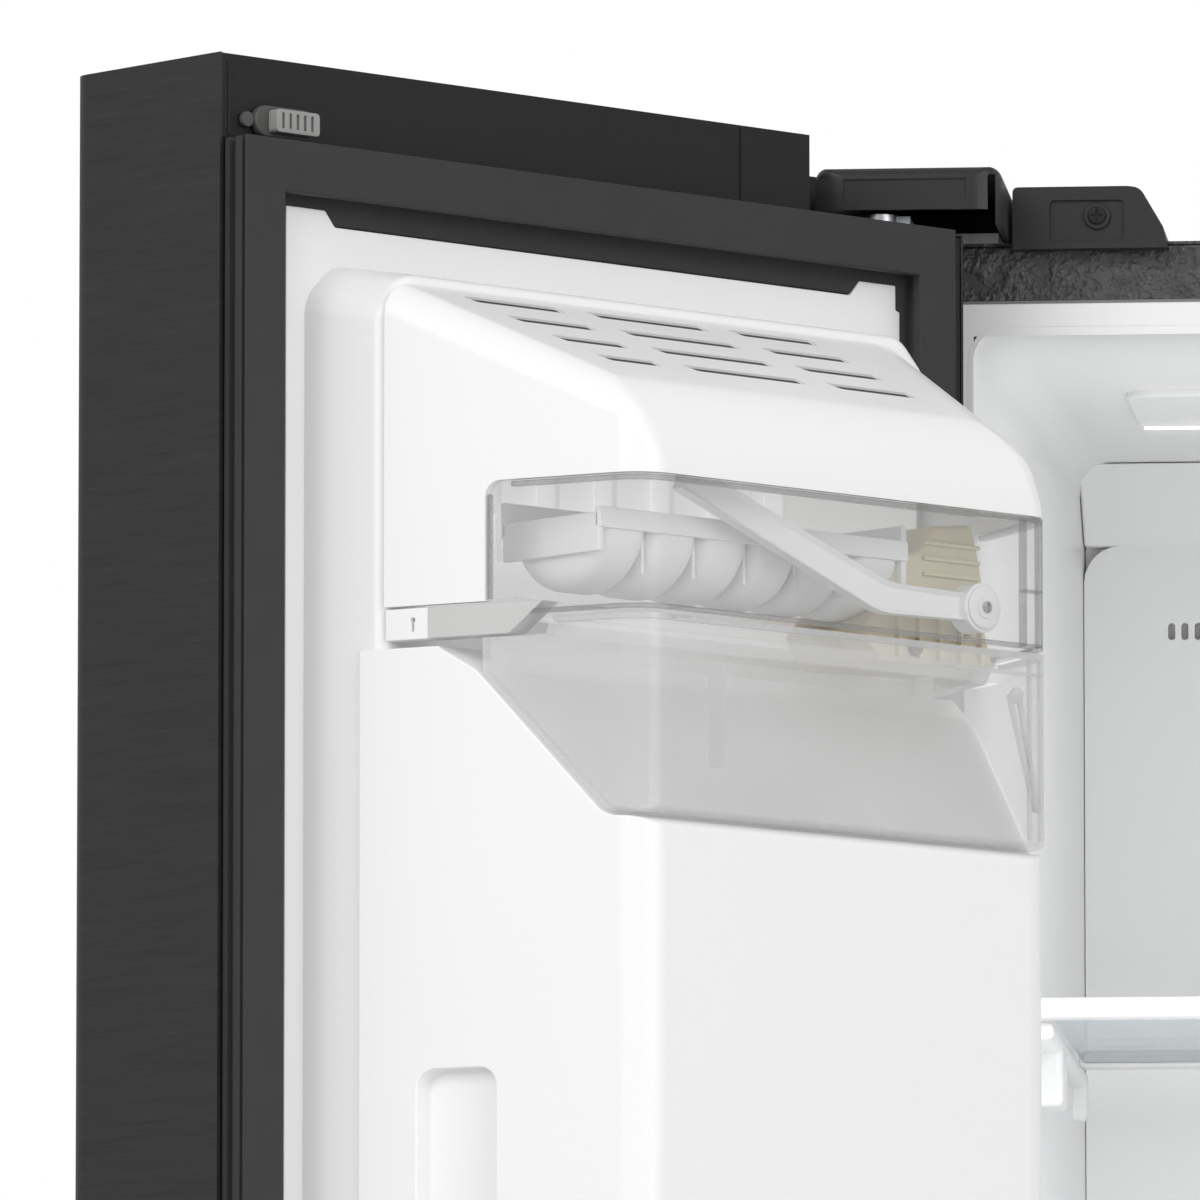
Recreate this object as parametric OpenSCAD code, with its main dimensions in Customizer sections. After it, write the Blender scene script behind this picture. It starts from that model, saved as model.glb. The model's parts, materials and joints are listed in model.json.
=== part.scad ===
// Side by side refrigerator with an ice maker inside the freezer door.
// The origin is the sole of the front left foot, X runs to the right, Y to the back and Z up.

/* [Cabinet] */
// Width over the cabinet sides
cabinet_w = 913; // [860:1:1100]
// Height of the cabinet top above the floor
cabinet_h = 1762; // [1700:1:2120]
// Depth of the metal cabinet without its doors
cabinet_d = 620; // [600:1:760]
// Height of the cabinet's underside above the floor
cabinet_lift = 72; // [66:1:86]
// Thickness of the sheet metal
skin_t = 1.2; // [0.8:0.1:2]
// Thickness of the insulated side walls at the front
wall_t = 51; // [46:1:62]
// Thickness of the insulated floor
floor_t = 60; // [50:1:80]
// Width of the post between the two compartments
mullion_w = 62; // [52:1:75]
// Thickness of the plastic liners
liner_t = 2; // [1.5:0.1:3]
// How much narrower each side of a compartment gets towards the back
liner_taper = 17; // [6:1:20]
// Depth of the painted frame round the openings
frame_t = 12; // [8:1:16]
// Height of the painted band above the openings
band_h = 23.5; // [18:0.5:30]

/* [Doors] */
// Width of the freezer door
freezer_door_w = 394; // [380:1:430]
// Gap between the two closed doors
door_split = 6; // [4:1:8]
// Thickness of a door from its front to the plane of its seal
door_t = 88; // [78:1:106]
// Gap between a closed door and the cabinet
seal_gap = 14; // [12:0.5:16]
// Height of a door's top above the cabinet top
door_rise = 28; // [26:1:34]
// Height of a door's underside above the floor
door_foot = 84; // [82:1:96]
// Distance of the hinge pin from the cabinet side
hinge_x = 17; // [16:0.5:18]
// Distance of the hinge pin in front of the seal plane
hinge_y = 30; // [29:0.5:34]
// Radius of the hinge pins
pin_r = 6; // [5:0.1:7.5]
// How far both doors stand open as drawn
door_open = 132; // [0:1:134]
// Height of the border moulded round each door liner
border_h = 40; // [34:1:46]

/* [Ice maker] */
// Depth of the ice housing from the door's seal plane
bulge_d = 146; // [140:1:176]
// Underside of the housing's solid lower part
bulge_bottom = 880; // [860:1:1000]
// How far the ice bucket's rim is below the top of the door's seal
rim_drop = 181.5; // [170:0.5:200]
// Height of the clear cover
cover_h = 46; // [40:1:54]
// Number of rows of vent slots
vent_rows = 4; // [2:1:5]

/* [Shelves and drawers] */
// How far the top shelves are below the compartments' ceilings
shelf_drop = 264; // [220:1:290]
// Spacing of the shelves
shelf_pitch = 270; // [240:1:330]
// Thickness of a glass shelf
shelf_t = 5; // [4:0.5:8]
// Thickness of the drawers' plastic
drawer_t = 2.5; // [2:0.1:4]
// Height of a drawer
drawer_h = 160; // [130:1:195]

/* [Running clearances] */
// Radial clearance of pins and shafts
pin_play = 0.05; // [0.02:0.01:0.1]
// Clearance between parts that slide past each other
slide_play = 1; // [0.5:0.1:3]
// Clearance of the squeezed door seal
seal_play = 0.3; // [0.3:0.1:0.6]

/* [Hidden] */
$fn = 48;
far = 3000;
eps = 1;
black_metal = [0.11, 0.11, 0.11];
dark_steel = [0.25, 0.25, 0.26];
dark_plastic = [0.15, 0.15, 0.16];
white_plastic = [0.95, 0.95, 0.95];
clear_plastic = [0.86, 0.9, 0.92, 0.4];
bare_steel = [0.7, 0.7, 0.72];

// places shared by several pieces
foot_x = 47;
foot_y = 40;
seal_w = 20;
cap_h = 33;
lip_w = 14;
lip_h = 10.5;
door_top = cabinet_h + door_rise;
seal_top = door_top - cap_h;
seal_bottom = door_foot + cap_h - 5;
pin_y = -seal_gap - hinge_y;
fridge_door_w = cabinet_w - freezer_door_w - door_split;
mullion_x = freezer_door_w + door_split / 2;
room_top = cabinet_h - band_h - lip_h;
room_bottom = cabinet_lift + floor_t;
top_shelf = room_top - shelf_drop;
bucket_rim = seal_top - rim_drop;
freezer_x = [wall_t, mullion_x - mullion_w / 2];
fridge_x = [mullion_x + mullion_w / 2, cabinet_w - wall_t];
room_depth = cabinet_d - 80;
back_wall_y = 449;
back_wall_t = 8;
// the machine compartment takes the lower back corner of the cabinet
machine_front = cabinet_d - 250;
machine_top = 310;
hump_y = machine_front - 22;
hump_z = machine_top + 22;
notch_w = 67 + hinge_x;
notch_z = cabinet_h - 4;
door_plate_t = 2;
// plan of the ice housing: its free side follows the swing past the post
border_gap = 12;
bin_side = 26;
free_draft = 0.34;
hinge_edge = wall_t + 3;
bulge_round = 12;
recess_y = [54, 86];
side_recess_z = [1180, 1400];
recess_depth = 7;
vent_slope = 25.5;
slope_z = seal_top - 55;
slope_back = [border_h, slope_z + 2];
bulge_front_top = slope_z - (bulge_d - border_h) * tan(vent_slope);
rail_h = 12;
rail_z = bucket_rim - rail_h + 1;
cover_z = bucket_rim + 1;
cover_top = cover_z + cover_h;
cover_back = 81.5;
bucket_floor = cover_z - 83;
bucket_back = 80;
bay_back = 14;
bay_floor = rail_z - 3.5;
housing_wall = 2.5;
hub_x = 116;
hub_z = cover_z + 11;
hub_r = 9.7;
arm_shaft_r = 3;
arm_y = [128, 134];
tray_axis = [88, cover_z + 31.5];
tray_size = [56, 28];
tray_x = [142, 304];
drive_x = [84, 132];
// shelves stand behind the closed door's housing, drawers behind its bins
shelf_front = bulge_d + 9;
drawer_front = 100;
bin_d = 98;
crisper_x = [fridge_x[0] + 24, fridge_x[1] - 32];
basket_x = [freezer_x[0] + 29, freezer_x[1] - 22];
low_drawer_z = room_bottom + 22;
high_drawer_z = hump_z + 16;
low_drawer_d = hump_y - drawer_front - 12;
high_drawer_d = back_wall_y - drawer_front - 14;
runner_h = 8;
runner_w = 9;
// the dispenser on the freezer door's face
dispenser_x = [112, 296];
dispenser_z = [900, 1262];
recess_x = [128, 280];
recess_z = [926, 1120];
recess_d = 58;
paddle_z = recess_z[1] - 16;
paddle_y = -door_t + recess_d - 18;
grip_z = [760, 1220];
grip_w = 28;
grip_d = 26;
grip_x = 18;
roller_r = 20;
roller_y = cabinet_d - 60;
axle_r = 4;
freezer_bin_z = [170, 490];
fridge_bin_z = [170, 600, 1040];
fridge_bin_d = [98, 110, 110];
bin_h = 110;
boss_y = 26;
boss_z = 34;
boss_r = 4;
dairy_z = room_top - 238;
dairy_h = 130;
dairy_d = 104;
lid_axis = [dairy_d - 5.5, dairy_z + dairy_h - 8];
fan_r = 58;
fan_x = (freezer_x[0] + freezer_x[1]) / 2;
fan_z = room_top - 150;

// ---- places ----

// the cabinet's own frame: X from its left side, Y from its front plane
module in_cabinet() {
  translate([-foot_x, -foot_y, 0]) children();
}

// a door is drawn closed: X from the hinge side, Y from its seal plane into the cabinet
module swung() {
  translate([hinge_x, pin_y, 0]) rotate([0, 0, -door_open]) translate([-hinge_x, hinge_y, 0]) children();
}

module in_freezer_door() {
  in_cabinet() swung() children();
}

module in_fridge_door() {
  in_cabinet() translate([cabinet_w, 0, 0]) mirror([1, 0, 0]) swung() children();
}

// the free side of a door's liner, which has to swing past the post
function border_end(w) = w + door_split / 2 - mullion_w / 2 - border_gap;
seal_edge = border_end(freezer_door_w);

// ---- shared shapes ----

module slab(x, y, z) {
  translate([x[0], y[0], z[0]]) cube([x[1] - x[0], y[1] - y[0], z[1] - z[0]]);
}

// extrudes a profile given as [y, z] points along X
module along_x(x) {
  translate([x[0], 0, 0]) rotate([90, 0, 90]) linear_extrude(x[1] - x[0]) children();
}

module rod_x(x, y, z, r) {
  translate([x[0], y, z]) rotate([0, 90, 0]) cylinder(h = x[1] - x[0], r = r);
}

module rod_y(x, y, z, r) {
  translate([x, y[0], z]) rotate([-90, 0, 0]) cylinder(h = y[1] - y[0], r = r);
}

module rod_z(x, y, z, r) {
  translate([x, y, z[0]]) cylinder(h = z[1] - z[0], r = r);
}

// a box with upright round edges
module round_slab(x, y, z, r) {
  translate([0, 0, z[0]]) linear_extrude(z[1] - z[0]) {
    translate([x[0] + r, y[0]]) square([x[1] - x[0] - 2 * r, y[1] - y[0]]);
    translate([x[0], y[0] + r]) square([x[1] - x[0], y[1] - y[0] - 2 * r]);
    for (cx = [x[0] + r, x[1] - r])
      for (cy = [y[0] + r, y[1] - r]) translate([cx, cy]) circle(r);
  }
}

module flat_ring(x, y, z, w) {
  difference() {
    slab(x, y, z);
    slab([x[0] + w, x[1] - w], [y[0] - eps, y[1] + eps], [z[0] + w, z[1] - w]);
  }
}

// ---- cabinet ----

module room_plan(x, depth, grow) {
  back = liner_taper * depth / back_wall_y;
  polygon([
    [x[0] - grow, -eps], [x[1] + grow, -eps], [x[1] + grow, 0],
    [x[1] - back + grow, depth + grow], [x[0] + back - grow, depth + grow], [x[0] - grow, 0]
  ]);
}

// a compartment's hollow, with its floor stepped up over the machine compartment
module room(x, grow) {
  difference() {
    translate([0, 0, room_bottom - grow])
      linear_extrude(room_top - room_bottom + 2 * grow) room_plan(x, room_depth, grow);
    slab([0, cabinet_w], [hump_y + grow, cabinet_d], [0, hump_z - grow]);
  }
}

module cabinet_shell() {
  color(black_metal) in_cabinet() difference() {
    slab([0, cabinet_w], [0, cabinet_d], [cabinet_lift, cabinet_h]);
    slab([skin_t, cabinet_w - skin_t], [-eps, cabinet_d + eps], [cabinet_lift + skin_t, cabinet_h - skin_t]);
    for (x = [foot_x, cabinet_w - foot_x]) rod_z(x, foot_y, [cabinet_lift - eps, cabinet_lift + 5], 7);
  }
}

// the opening of the painted frame goes round the liner's lip
module frame_hole(x, grow) {
  slab([x[0] - lip_w - grow, x[1] + lip_w + grow], [-eps, frame_t + eps],
       [room_bottom - lip_h - grow, room_top + lip_h + grow]);
}

module front_frame() {
  color(black_metal) in_cabinet() difference() {
    slab([skin_t, cabinet_w - skin_t], [0, frame_t], [cabinet_lift + skin_t, cabinet_h - skin_t]);
    frame_hole(freezer_x, 0);
    frame_hole(fridge_x, 0);
  }
}

module back_panel() {
  color(bare_steel) in_cabinet()
    slab([skin_t, cabinet_w - skin_t], [cabinet_d - skin_t, cabinet_d], [machine_top, cabinet_h - skin_t]);
}

module cabinet_foam() {
  color([0.93, 0.88, 0.7]) in_cabinet() difference() {
    union() {
      slab([skin_t, cabinet_w - skin_t], [frame_t, cabinet_d - skin_t], [cabinet_lift + skin_t, cabinet_h - skin_t]);
      frame_plug(freezer_x);
      frame_plug(fridge_x);
    }
    room(freezer_x, liner_t);
    room(fridge_x, liner_t);
    slab([0, cabinet_w], [machine_front, cabinet_d], [0, machine_top]);
    slab([0, foot_x + 12], [0, foot_y + 12], [0, cabinet_lift + 8]);
    slab([cabinet_w - foot_x - 12, cabinet_w], [0, foot_y + 12], [0, cabinet_lift + 8]);
  }
}

module frame_plug(x) {
  slab([x[0] - lip_w, x[1] + lip_w], [liner_t, frame_t], [room_bottom - lip_h, room_top + lip_h]);
}

// a moulded liner with its lip, and ledges for shelves and drawers
module liner(x, drawers, boxes) {
  difference() {
    union() {
      intersection() {
        room(x, liner_t);
        slab([0, cabinet_w], [0, cabinet_d], [0, cabinet_h]);
      }
      slab([x[0] - lip_w, x[1] + lip_w], [0, liner_t], [room_bottom - lip_h, room_top + lip_h]);
    }
    room(x, 0);
  }
  intersection() {
    room(x, 0);
    union() {
      for (i = [0:2]) shelf_ledges(x, top_shelf - i * shelf_pitch);
      for (d = drawers) runners(boxes, d);
    }
  }
}

module shelf_ledges(x, z) {
  inner = liner_taper + 6;
  for (side = [[x[0], x[0] + inner], [x[1] - inner, x[1]]])
    slab(side, [shelf_front + 12, back_wall_y - 40], [z - 8, z]);
}

// two ledges that a drawer's side flanges slide on
module runners(boxes, d) {
  z = d[0] + drawer_h - runner_h - drawer_t - slide_play;
  for (side = [[0, boxes[0] + runner_w], [boxes[1] - runner_w, cabinet_w]])
    slab(side, [drawer_front + 12, drawer_front + d[1]], [z - runner_h, z]);
}

module freezer_liner() {
  color(white_plastic) in_cabinet()
    liner(freezer_x, [[low_drawer_z, low_drawer_d], [high_drawer_z, high_drawer_d]], basket_x);
}

module fridge_liner() {
  color(white_plastic) in_cabinet()
    liner(fridge_x, [[low_drawer_z, low_drawer_d], [high_drawer_z, high_drawer_d]], crisper_x);
}

// a box rail on each side carries the roller brackets and the foot's nut
module base_frame() {
  rail_x = [[foot_x - 20, foot_x + 20], [cabinet_w - foot_x - 20, cabinet_w - foot_x + 20]];
  color(dark_steel) in_cabinet() {
    for (x = rail_x) difference() {
      union() {
        slab(x, [8, cabinet_d - 8], [cabinet_lift - 26, cabinet_lift]);
        slab(x, [roller_y - 26, roller_y + 26], [roller_r - 10, cabinet_lift]);
        rod_z((x[0] + x[1]) / 2, foot_y, [30, cabinet_lift - 20], 10);
      }
      slab([x[0] + 3, x[1] - 3], [60, cabinet_d], [0, cabinet_lift - 3]);
      rod_z((x[0] + x[1]) / 2, foot_y, [0, cabinet_lift + eps], 5 + pin_play);
    }
    for (x = rail_x) rod_x(x, roller_y, roller_r, axle_r);
    slab([rail_x[0][1], rail_x[1][0]], [14, 40], [cabinet_lift - 22, cabinet_lift]);
    slab([rail_x[0][1], rail_x[1][0]], [machine_front, machine_front + 26], [cabinet_lift - 22, cabinet_lift]);
  }
}

module kick_plate() {
  slots = 12;
  pitch = (cabinet_w - 200) / slots;
  color(dark_plastic) in_cabinet() difference() {
    slab([8, cabinet_w - 8], [-26, 8], [12, cabinet_lift - 6]);
    slab([11, cabinet_w - 11], [-23, 10], [0, cabinet_lift - 9]);
    for (i = [0:slots - 1])
      for (z = [24, 38, 52])
        slab([100 + i * pitch, 100 + (i + 0.75) * pitch], [-30, -20], [z, z + 5]);
  }
}

// the cold air panel closes the freezer's back wall and its upper part leans to the ceiling
module freezer_duct() {
  x = [freezer_x[0] + liner_taper + slide_play, freezer_x[1] - liner_taper - slide_play];
  top = room_top - 34;
  color(white_plastic) in_cabinet() difference() {
    union() {
      slab(x, [back_wall_y, back_wall_y + back_wall_t], [hump_z + 2, top]);
      along_x(x) polygon([[back_wall_y, top], [back_wall_y + back_wall_t, top],
                          [back_wall_y - 22, room_top - 0.3], [back_wall_y - 30, room_top - 0.3]]);
    }
    for (z = [room_top - 74, top_shelf - 60, top_shelf - shelf_pitch - 60, top_shelf - 2 * shelf_pitch - 60])
      for (i = [0:11])
        slab([fan_x - 112 + i * 20, fan_x - 107 + i * 20], [back_wall_y - eps, back_wall_y + 20], [z - 9, z]);
  }
}

module fridge_duct() {
  middle = (fridge_x[0] + fridge_x[1]) / 2;
  color(white_plastic) in_cabinet() difference() {
    round_slab([middle - 90, middle + 90], [room_depth - 26, room_depth], [hump_z + 20, room_top - 40], 10);
    slab([middle - 80, middle + 80], [room_depth - 20, room_depth - 4], [hump_z + 30, room_top - 60]);
    for (i = [0:2])
      for (side = [-60, 20])
        slab([middle + side, middle + side + 40], [room_depth - 30, room_depth - 18],
             [top_shelf - i * shelf_pitch - 60, top_shelf - i * shelf_pitch - 52]);
  }
}

module interior_lamps() {
  color([1, 1, 0.97]) in_cabinet() {
    slab([fan_x - 105, fan_x + 105], [room_depth - 178, room_depth - 147], [room_top - 5, room_top]);
    slab([fridge_x[0] + 110, fridge_x[1] - 110], [210, 250], [room_top - 5, room_top]);
  }
}

function shelf_span(x) = [x[0] + liner_taper + slide_play, x[1] - liner_taper - slide_play];
shelf_back = back_wall_y - 49;

module each_shelf() {
  for (x = [freezer_x, fridge_x])
    for (i = [0:2]) {
      $span = shelf_span(x);
      $z = top_shelf - i * shelf_pitch;
      children();
    }
}

module shelf_glass() {
  color(clear_plastic) in_cabinet() each_shelf()
    slab([$span[0] + 2, $span[1] - 2], [shelf_front + 6, shelf_back - 6], [$z + 2, $z + 2 + shelf_t]);
}

module shelf_trims() {
  color(white_plastic) in_cabinet() each_shelf() difference() {
    union() {
      slab($span, [shelf_front, shelf_front + 14], [$z, $z + 8]);
      slab($span, [shelf_back - 14, shelf_back], [$z, $z + 9]);
    }
    slab([$span[0] + 2, $span[1] - 2], [shelf_front + 6, shelf_back - 6], [$z + 2, $z + 2 + shelf_t]);
  }
}

// one side's hinges; the other side is their mirror image
module each_side() {
  in_cabinet() {
    children();
    translate([cabinet_w, 0, 0]) mirror([1, 0, 0]) children();
  }
}

hinge_boss = pin_r + 1.5;
cover_wall = 2;
cover_side = hinge_boss + 0.5;
cover_nose = cover_side + 2;

module door_hinges() {
  top_plate = [cabinet_h, cabinet_h + 5];
  foot_plate = [door_foot - 9, door_foot - 4];
  color(bare_steel) each_side() {
    slab([hinge_x - 7, hinge_x + 12], [pin_y, 56], top_plate);
    rod_z(hinge_x, pin_y, top_plate, hinge_boss);
    slab([hinge_x + 12, hinge_x + 44], [6, 56], top_plate);
    rod_z(hinge_x, pin_y, [cabinet_h - 28, cabinet_h + 5], pin_r);
    slab([hinge_x - 9, hinge_x + 40], [pin_y - 10, 0], foot_plate);
    slab([hinge_x - 9, hinge_x + 40], [-3, 0], [door_foot - 9, seal_bottom - 8]);
    rod_z(hinge_x, pin_y, [door_foot - 9, door_foot + 22], pin_r);
  }
}

module hinge_covers() {
  top = door_top - 4;
  color(dark_plastic) each_side() difference() {
    round_slab([hinge_x - cover_side - cover_wall, hinge_x + 49], [pin_y - cover_nose - cover_wall, 62],
               [cabinet_h + 0.3, top], 8 + cover_wall);
    round_slab([hinge_x - cover_side, hinge_x + 47], [pin_y - cover_nose, 60], [0, top - 2.5], 8);
    slab([hinge_x - 4, hinge_x + 40], [pin_y - 20, pin_y], [0, cabinet_h + 5]);
  }
}

module wire_covers() {
  x = [hinge_x + 51, hinge_x + 102];
  color(dark_plastic) each_side() {
    difference() {
      union() {
        slab(x, [-8, 70], [cabinet_h, cabinet_h + 20]);
        slab(x, [-8, -0.3], [cabinet_h - 4, cabinet_h + 2]);
        slab([x[1], x[1] + 12], [-2, 60], [cabinet_h, cabinet_h + 5]);
      }
      slab([x[0] + 2.5, x[1] - 2.5], [-5.5, 67.5], [cabinet_h - 0.1, cabinet_h + 17.5]);
      rod_y(x[0] + 34, [-10, 0], cabinet_h + 10, 2.2);
    }
  }
}

module cover_screws() {
  color(bare_steel) each_side() {
    rod_y(hinge_x + 85, [-10.5, -8], cabinet_h + 10, 5);
    rod_y(hinge_x + 85, [-8, -5], cabinet_h + 10, 2.2);
    rod_z(hinge_x + 25, 30, [door_top - 4, door_top - 1.5], 5);
  }
}

// ---- machine compartment ----

module compressor() {
  x = cabinet_w - 250;
  y = cabinet_d - 120;
  r = 78;
  base = cabinet_lift + skin_t + 14;
  color([0.08, 0.08, 0.08]) in_cabinet() {
    translate([x, y, base]) rotate_extrude($fn = 64)
      polygon([[0, 0], [r - 22, 0], [r - 6, 10], [r, 30], [r, 130], [r - 6, 150], [r - 22, 164], [0, 170]]);
    difference() {
      slab([x - r - 14, x + r + 14], [y - r + 6, y + r - 6], [base - 4, base]);
      for (dx = [-r, r])
        for (dy = [-r + 24, r - 24]) rod_z(x + dx, y + dy, [base - 10, base + 10], 6);
    }
    for (dx = [-r, r])
      for (dy = [-r + 24, r - 24]) rod_z(x + dx, y + dy, [cabinet_lift + skin_t, base + 6], 6 - pin_play);
    rod_x([x - r - 30, x - r + 4], y, base + 110, 5);
    rod_x([x - r - 30, x - r + 4], y + 24, base + 70, 4);
  }
}

module condenser() {
  x = [130, 400];
  y = [machine_front + 70, cabinet_d - 60];
  z = [cabinet_lift + skin_t, cabinet_lift + 190];
  fins = 14;
  pitch = (x[1] - x[0]) / fins;
  color([0.1, 0.1, 0.1]) in_cabinet() {
    for (i = [0:fins]) slab([x[0] + i * pitch, x[0] + i * pitch + 1.5], y, z);
    for (row = [0:3])
      for (cy = [y[0] + 30, y[1] - 30]) rod_x([x[0] - 10, x[1] + 12], cy, z[0] + 26 + row * 44, 5);
  }
}

module fan_blades(r, count, width) {
  difference() {
    union() {
      cylinder(h = width, r = r * 0.26);
      for (i = [0:count - 1]) rotate([0, 0, i * 360 / count])
        translate([r * 0.2, 0, width / 2]) rotate([32, 0, 0])
          translate([0, -r * 0.26, -1]) cube([r * 0.8, r * 0.52, 2]);
    }
    translate([0, 0, -eps]) cylinder(h = width + 2 * eps, r = 4 + pin_play);
  }
}

// the motor and its post stand beside the condenser, and the blades turn on the post
condenser_fan_at = [430, cabinet_d - 130, cabinet_lift + 105];

module condenser_fan() {
  color([0.1, 0.1, 0.1]) in_cabinet() translate(condenser_fan_at) rotate([0, 90, 0]) fan_blades(72, 5, 26);
}

module evaporator_fan() {
  color([0.2, 0.2, 0.2]) in_cabinet() translate([fan_x, back_wall_y + 22, fan_z]) rotate([-90, 0, 0])
    fan_blades(fan_r, 5, 22);
}

module machine_cover() {
  z = [cabinet_lift + skin_t, machine_top];
  at = condenser_fan_at;
  color([0.16, 0.16, 0.16]) in_cabinet() {
    difference() {
      slab([skin_t, cabinet_w - skin_t], [cabinet_d - 2, cabinet_d], z);
      for (row = [0:7])
        for (x = [90, 300, 510, 690])
          slab([x, x + 150], [cabinet_d - 5, cabinet_d + eps], [z[0] + 40 + row * 20, z[0] + 48 + row * 20]);
      rod_y(60, [cabinet_d - 5, cabinet_d + eps], z[0] + 60, 9);
      rod_y(cabinet_w - 50, [cabinet_d - 5, cabinet_d + eps], z[0] + 60, 10);
    }
    rod_x([at[0] - 4, at[0] + 70], at[1], at[2], 4);
    rod_x([at[0] + 30, at[0] + 70], at[1], at[2], 26);
    slab([at[0] + 50, at[0] + 60], [at[1] - 10, cabinet_d - 2], [z[0], at[2]]);
  }
}

module evaporator() {
  x = [freezer_x[0] + 40, freezer_x[1] - 40];
  y = [back_wall_y + back_wall_t + 8, room_depth - 18];
  z = [hump_z + 60, hump_z + 460];
  fins = 20;
  pitch = (x[1] - x[0]) / fins;
  color([0.75, 0.76, 0.78]) in_cabinet() {
    for (i = [0:fins]) slab([x[0] + i * pitch, x[0] + i * pitch + 1], y, z);
    for (row = [0:7])
      for (cy = [y[0] + 14, y[1] - 14]) rod_x([x[0] - 8, x[1] + 9], cy, z[0] + 25 + row * 50, 4);
    rod_y(fan_x, [back_wall_y + back_wall_t, back_wall_y + 50], fan_z, 4);
    slab([fan_x - 22, fan_x + 22], [back_wall_y + 48, room_depth], [fan_z - 22, fan_z + 22]);
  }
}

module water_valve() {
  z = cabinet_lift + skin_t + 60;
  color([0.2, 0.32, 0.6]) in_cabinet() {
    slab([44, 76], [cabinet_d - 50, cabinet_d - 4], [cabinet_lift + skin_t, z + 16]);
    rod_y(60, [cabinet_d - 6, cabinet_d + 4], z, 8);
    rod_y(60, [cabinet_d + 4, cabinet_d + 22], z, 3.175);
  }
}

module cord_inlet() {
  x = cabinet_w - 50;
  z = cabinet_lift + skin_t + 60;
  color([0.05, 0.05, 0.05]) in_cabinet() difference() {
    union() {
      rod_y(x, [cabinet_d - 14, cabinet_d + 6], z, 9.5);
      rod_y(x, [cabinet_d, cabinet_d + 3], z, 13);
      rod_y(x, [cabinet_d - 14, cabinet_d - 2], z, 13);
    }
    rod_y(x, [cabinet_d - 10, cabinet_d + 10], z, 4);
  }
}

module roller() {
  in_cabinet() difference() {
    rod_x([foot_x - 12, foot_x + 12], roller_y, roller_r, roller_r);
    rod_x([0, foot_x + 30], roller_y, roller_r, axle_r + pin_play);
  }
}

// the right hand copy of a piece that is placed in the cabinet's frame
module on_the_right() {
  translate([cabinet_w - 2 * foot_x, 0, 0]) mirror([1, 0, 0]) children();
}

module rear_roller_left() {
  color([0.3, 0.3, 0.32]) roller();
}

module rear_roller_right() {
  color([0.3, 0.3, 0.32]) on_the_right() roller();
}

module foot() {
  in_cabinet() {
    rod_z(foot_x, foot_y, [0, 8], 18);
    rod_z(foot_x, foot_y, [8, 16], 11);
    rod_z(foot_x, foot_y, [16, cabinet_lift + 3], 5);
  }
}

module front_foot_left() {
  color([0.12, 0.12, 0.12]) foot();
}

module front_foot_right() {
  color([0.12, 0.12, 0.12]) on_the_right() foot();
}

// ---- drawers ----

// an open box with side flanges that ride on the runners
module drawer(x, y, z, depth, travel_play) {
  body = [x[0] + runner_w + slide_play, x[1] - runner_w - slide_play];
  lip = runner_h + drawer_t;
  difference() {
    union() {
      slab(body, [y, y + depth], [z, z + drawer_h]);
      slab([x[0], x[1]], [y, y + 10], [z, z + drawer_h]);
      slab([x[0] + travel_play, x[1] - travel_play], [y, y + depth - 6],
           [z + drawer_h - runner_h - drawer_t, z + drawer_h - runner_h]);
    }
    slab([body[0] + drawer_t, body[1] - drawer_t], [y + 10, y + depth - drawer_t], [z + drawer_t, z + far]);
    slab([x[0] + 3, x[1] - 3], [y + 3, y + 11], [z + 12, z + drawer_h - lip - 22]);
  }
}

module freezer_basket_upper() {
  color(clear_plastic) in_cabinet() drawer(basket_x, drawer_front, high_drawer_z, high_drawer_d, 0.5);
}

module freezer_basket_lower() {
  color(clear_plastic) in_cabinet() drawer(basket_x, drawer_front, low_drawer_z, low_drawer_d, 0.5);
}

module crisper_upper() {
  color(clear_plastic) in_cabinet() drawer(crisper_x, drawer_front, high_drawer_z, high_drawer_d, 0.5);
}

module crisper_lower() {
  color(clear_plastic) in_cabinet() drawer(crisper_x, drawer_front, low_drawer_z, low_drawer_d, 0.5);
}

// ---- doors ----

// plan of a door with rounded front edges, taken in by a margin all round but at the back
module door_plan(w, inset) {
  r = 10;
  translate([inset, -door_t + r]) square([w - 2 * inset, door_t - r]);
  translate([r, -door_t + inset]) square([w - 2 * r, door_t - inset]);
  for (x = [r, w - r]) translate([x, -door_t + r]) circle(r - inset);
}

// room for the hinge on the cabinet, which comes over the door's top corner
module notch() {
  slab([-eps, notch_w], [-door_t + 8, eps], [notch_z, door_top + eps]);
}

module grip_hole(w, grow) {
  slab([w - grip_x - grip_w - grow, w - grip_x + grow], [-door_t - eps, -door_t + grip_d + grow],
       [grip_z[0] - grow, grip_z[1] + grow]);
}

module door_skin(w) {
  difference() {
    union() {
      difference() {
        translate([0, 0, door_foot]) linear_extrude(door_top - door_foot) door_plan(w, 0);
        translate([0, 0, door_foot - eps]) linear_extrude(door_top - door_foot + 2 * eps) {
          door_plan(w, skin_t);
          translate([skin_t, -eps]) square([w - 2 * skin_t, 2 * eps]);
        }
      }
      slab([w - grip_x - grip_w - skin_t, w - grip_x + skin_t], [-door_t + skin_t, -door_t + grip_d + skin_t],
           [grip_z[0] - skin_t, grip_z[1] + skin_t]);
    }
    grip_hole(w, 0);
    notch();
  }
}

// a block under the top cap's low corner, long enough for the hinge pin
module pin_block(grow) {
  slab([hinge_x - 14 - grow, hinge_x + 18 + grow], [-hinge_y - 18 - grow, -hinge_y + 18 + grow],
       [seal_top - 36 - grow, seal_top + eps]);
}

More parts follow.
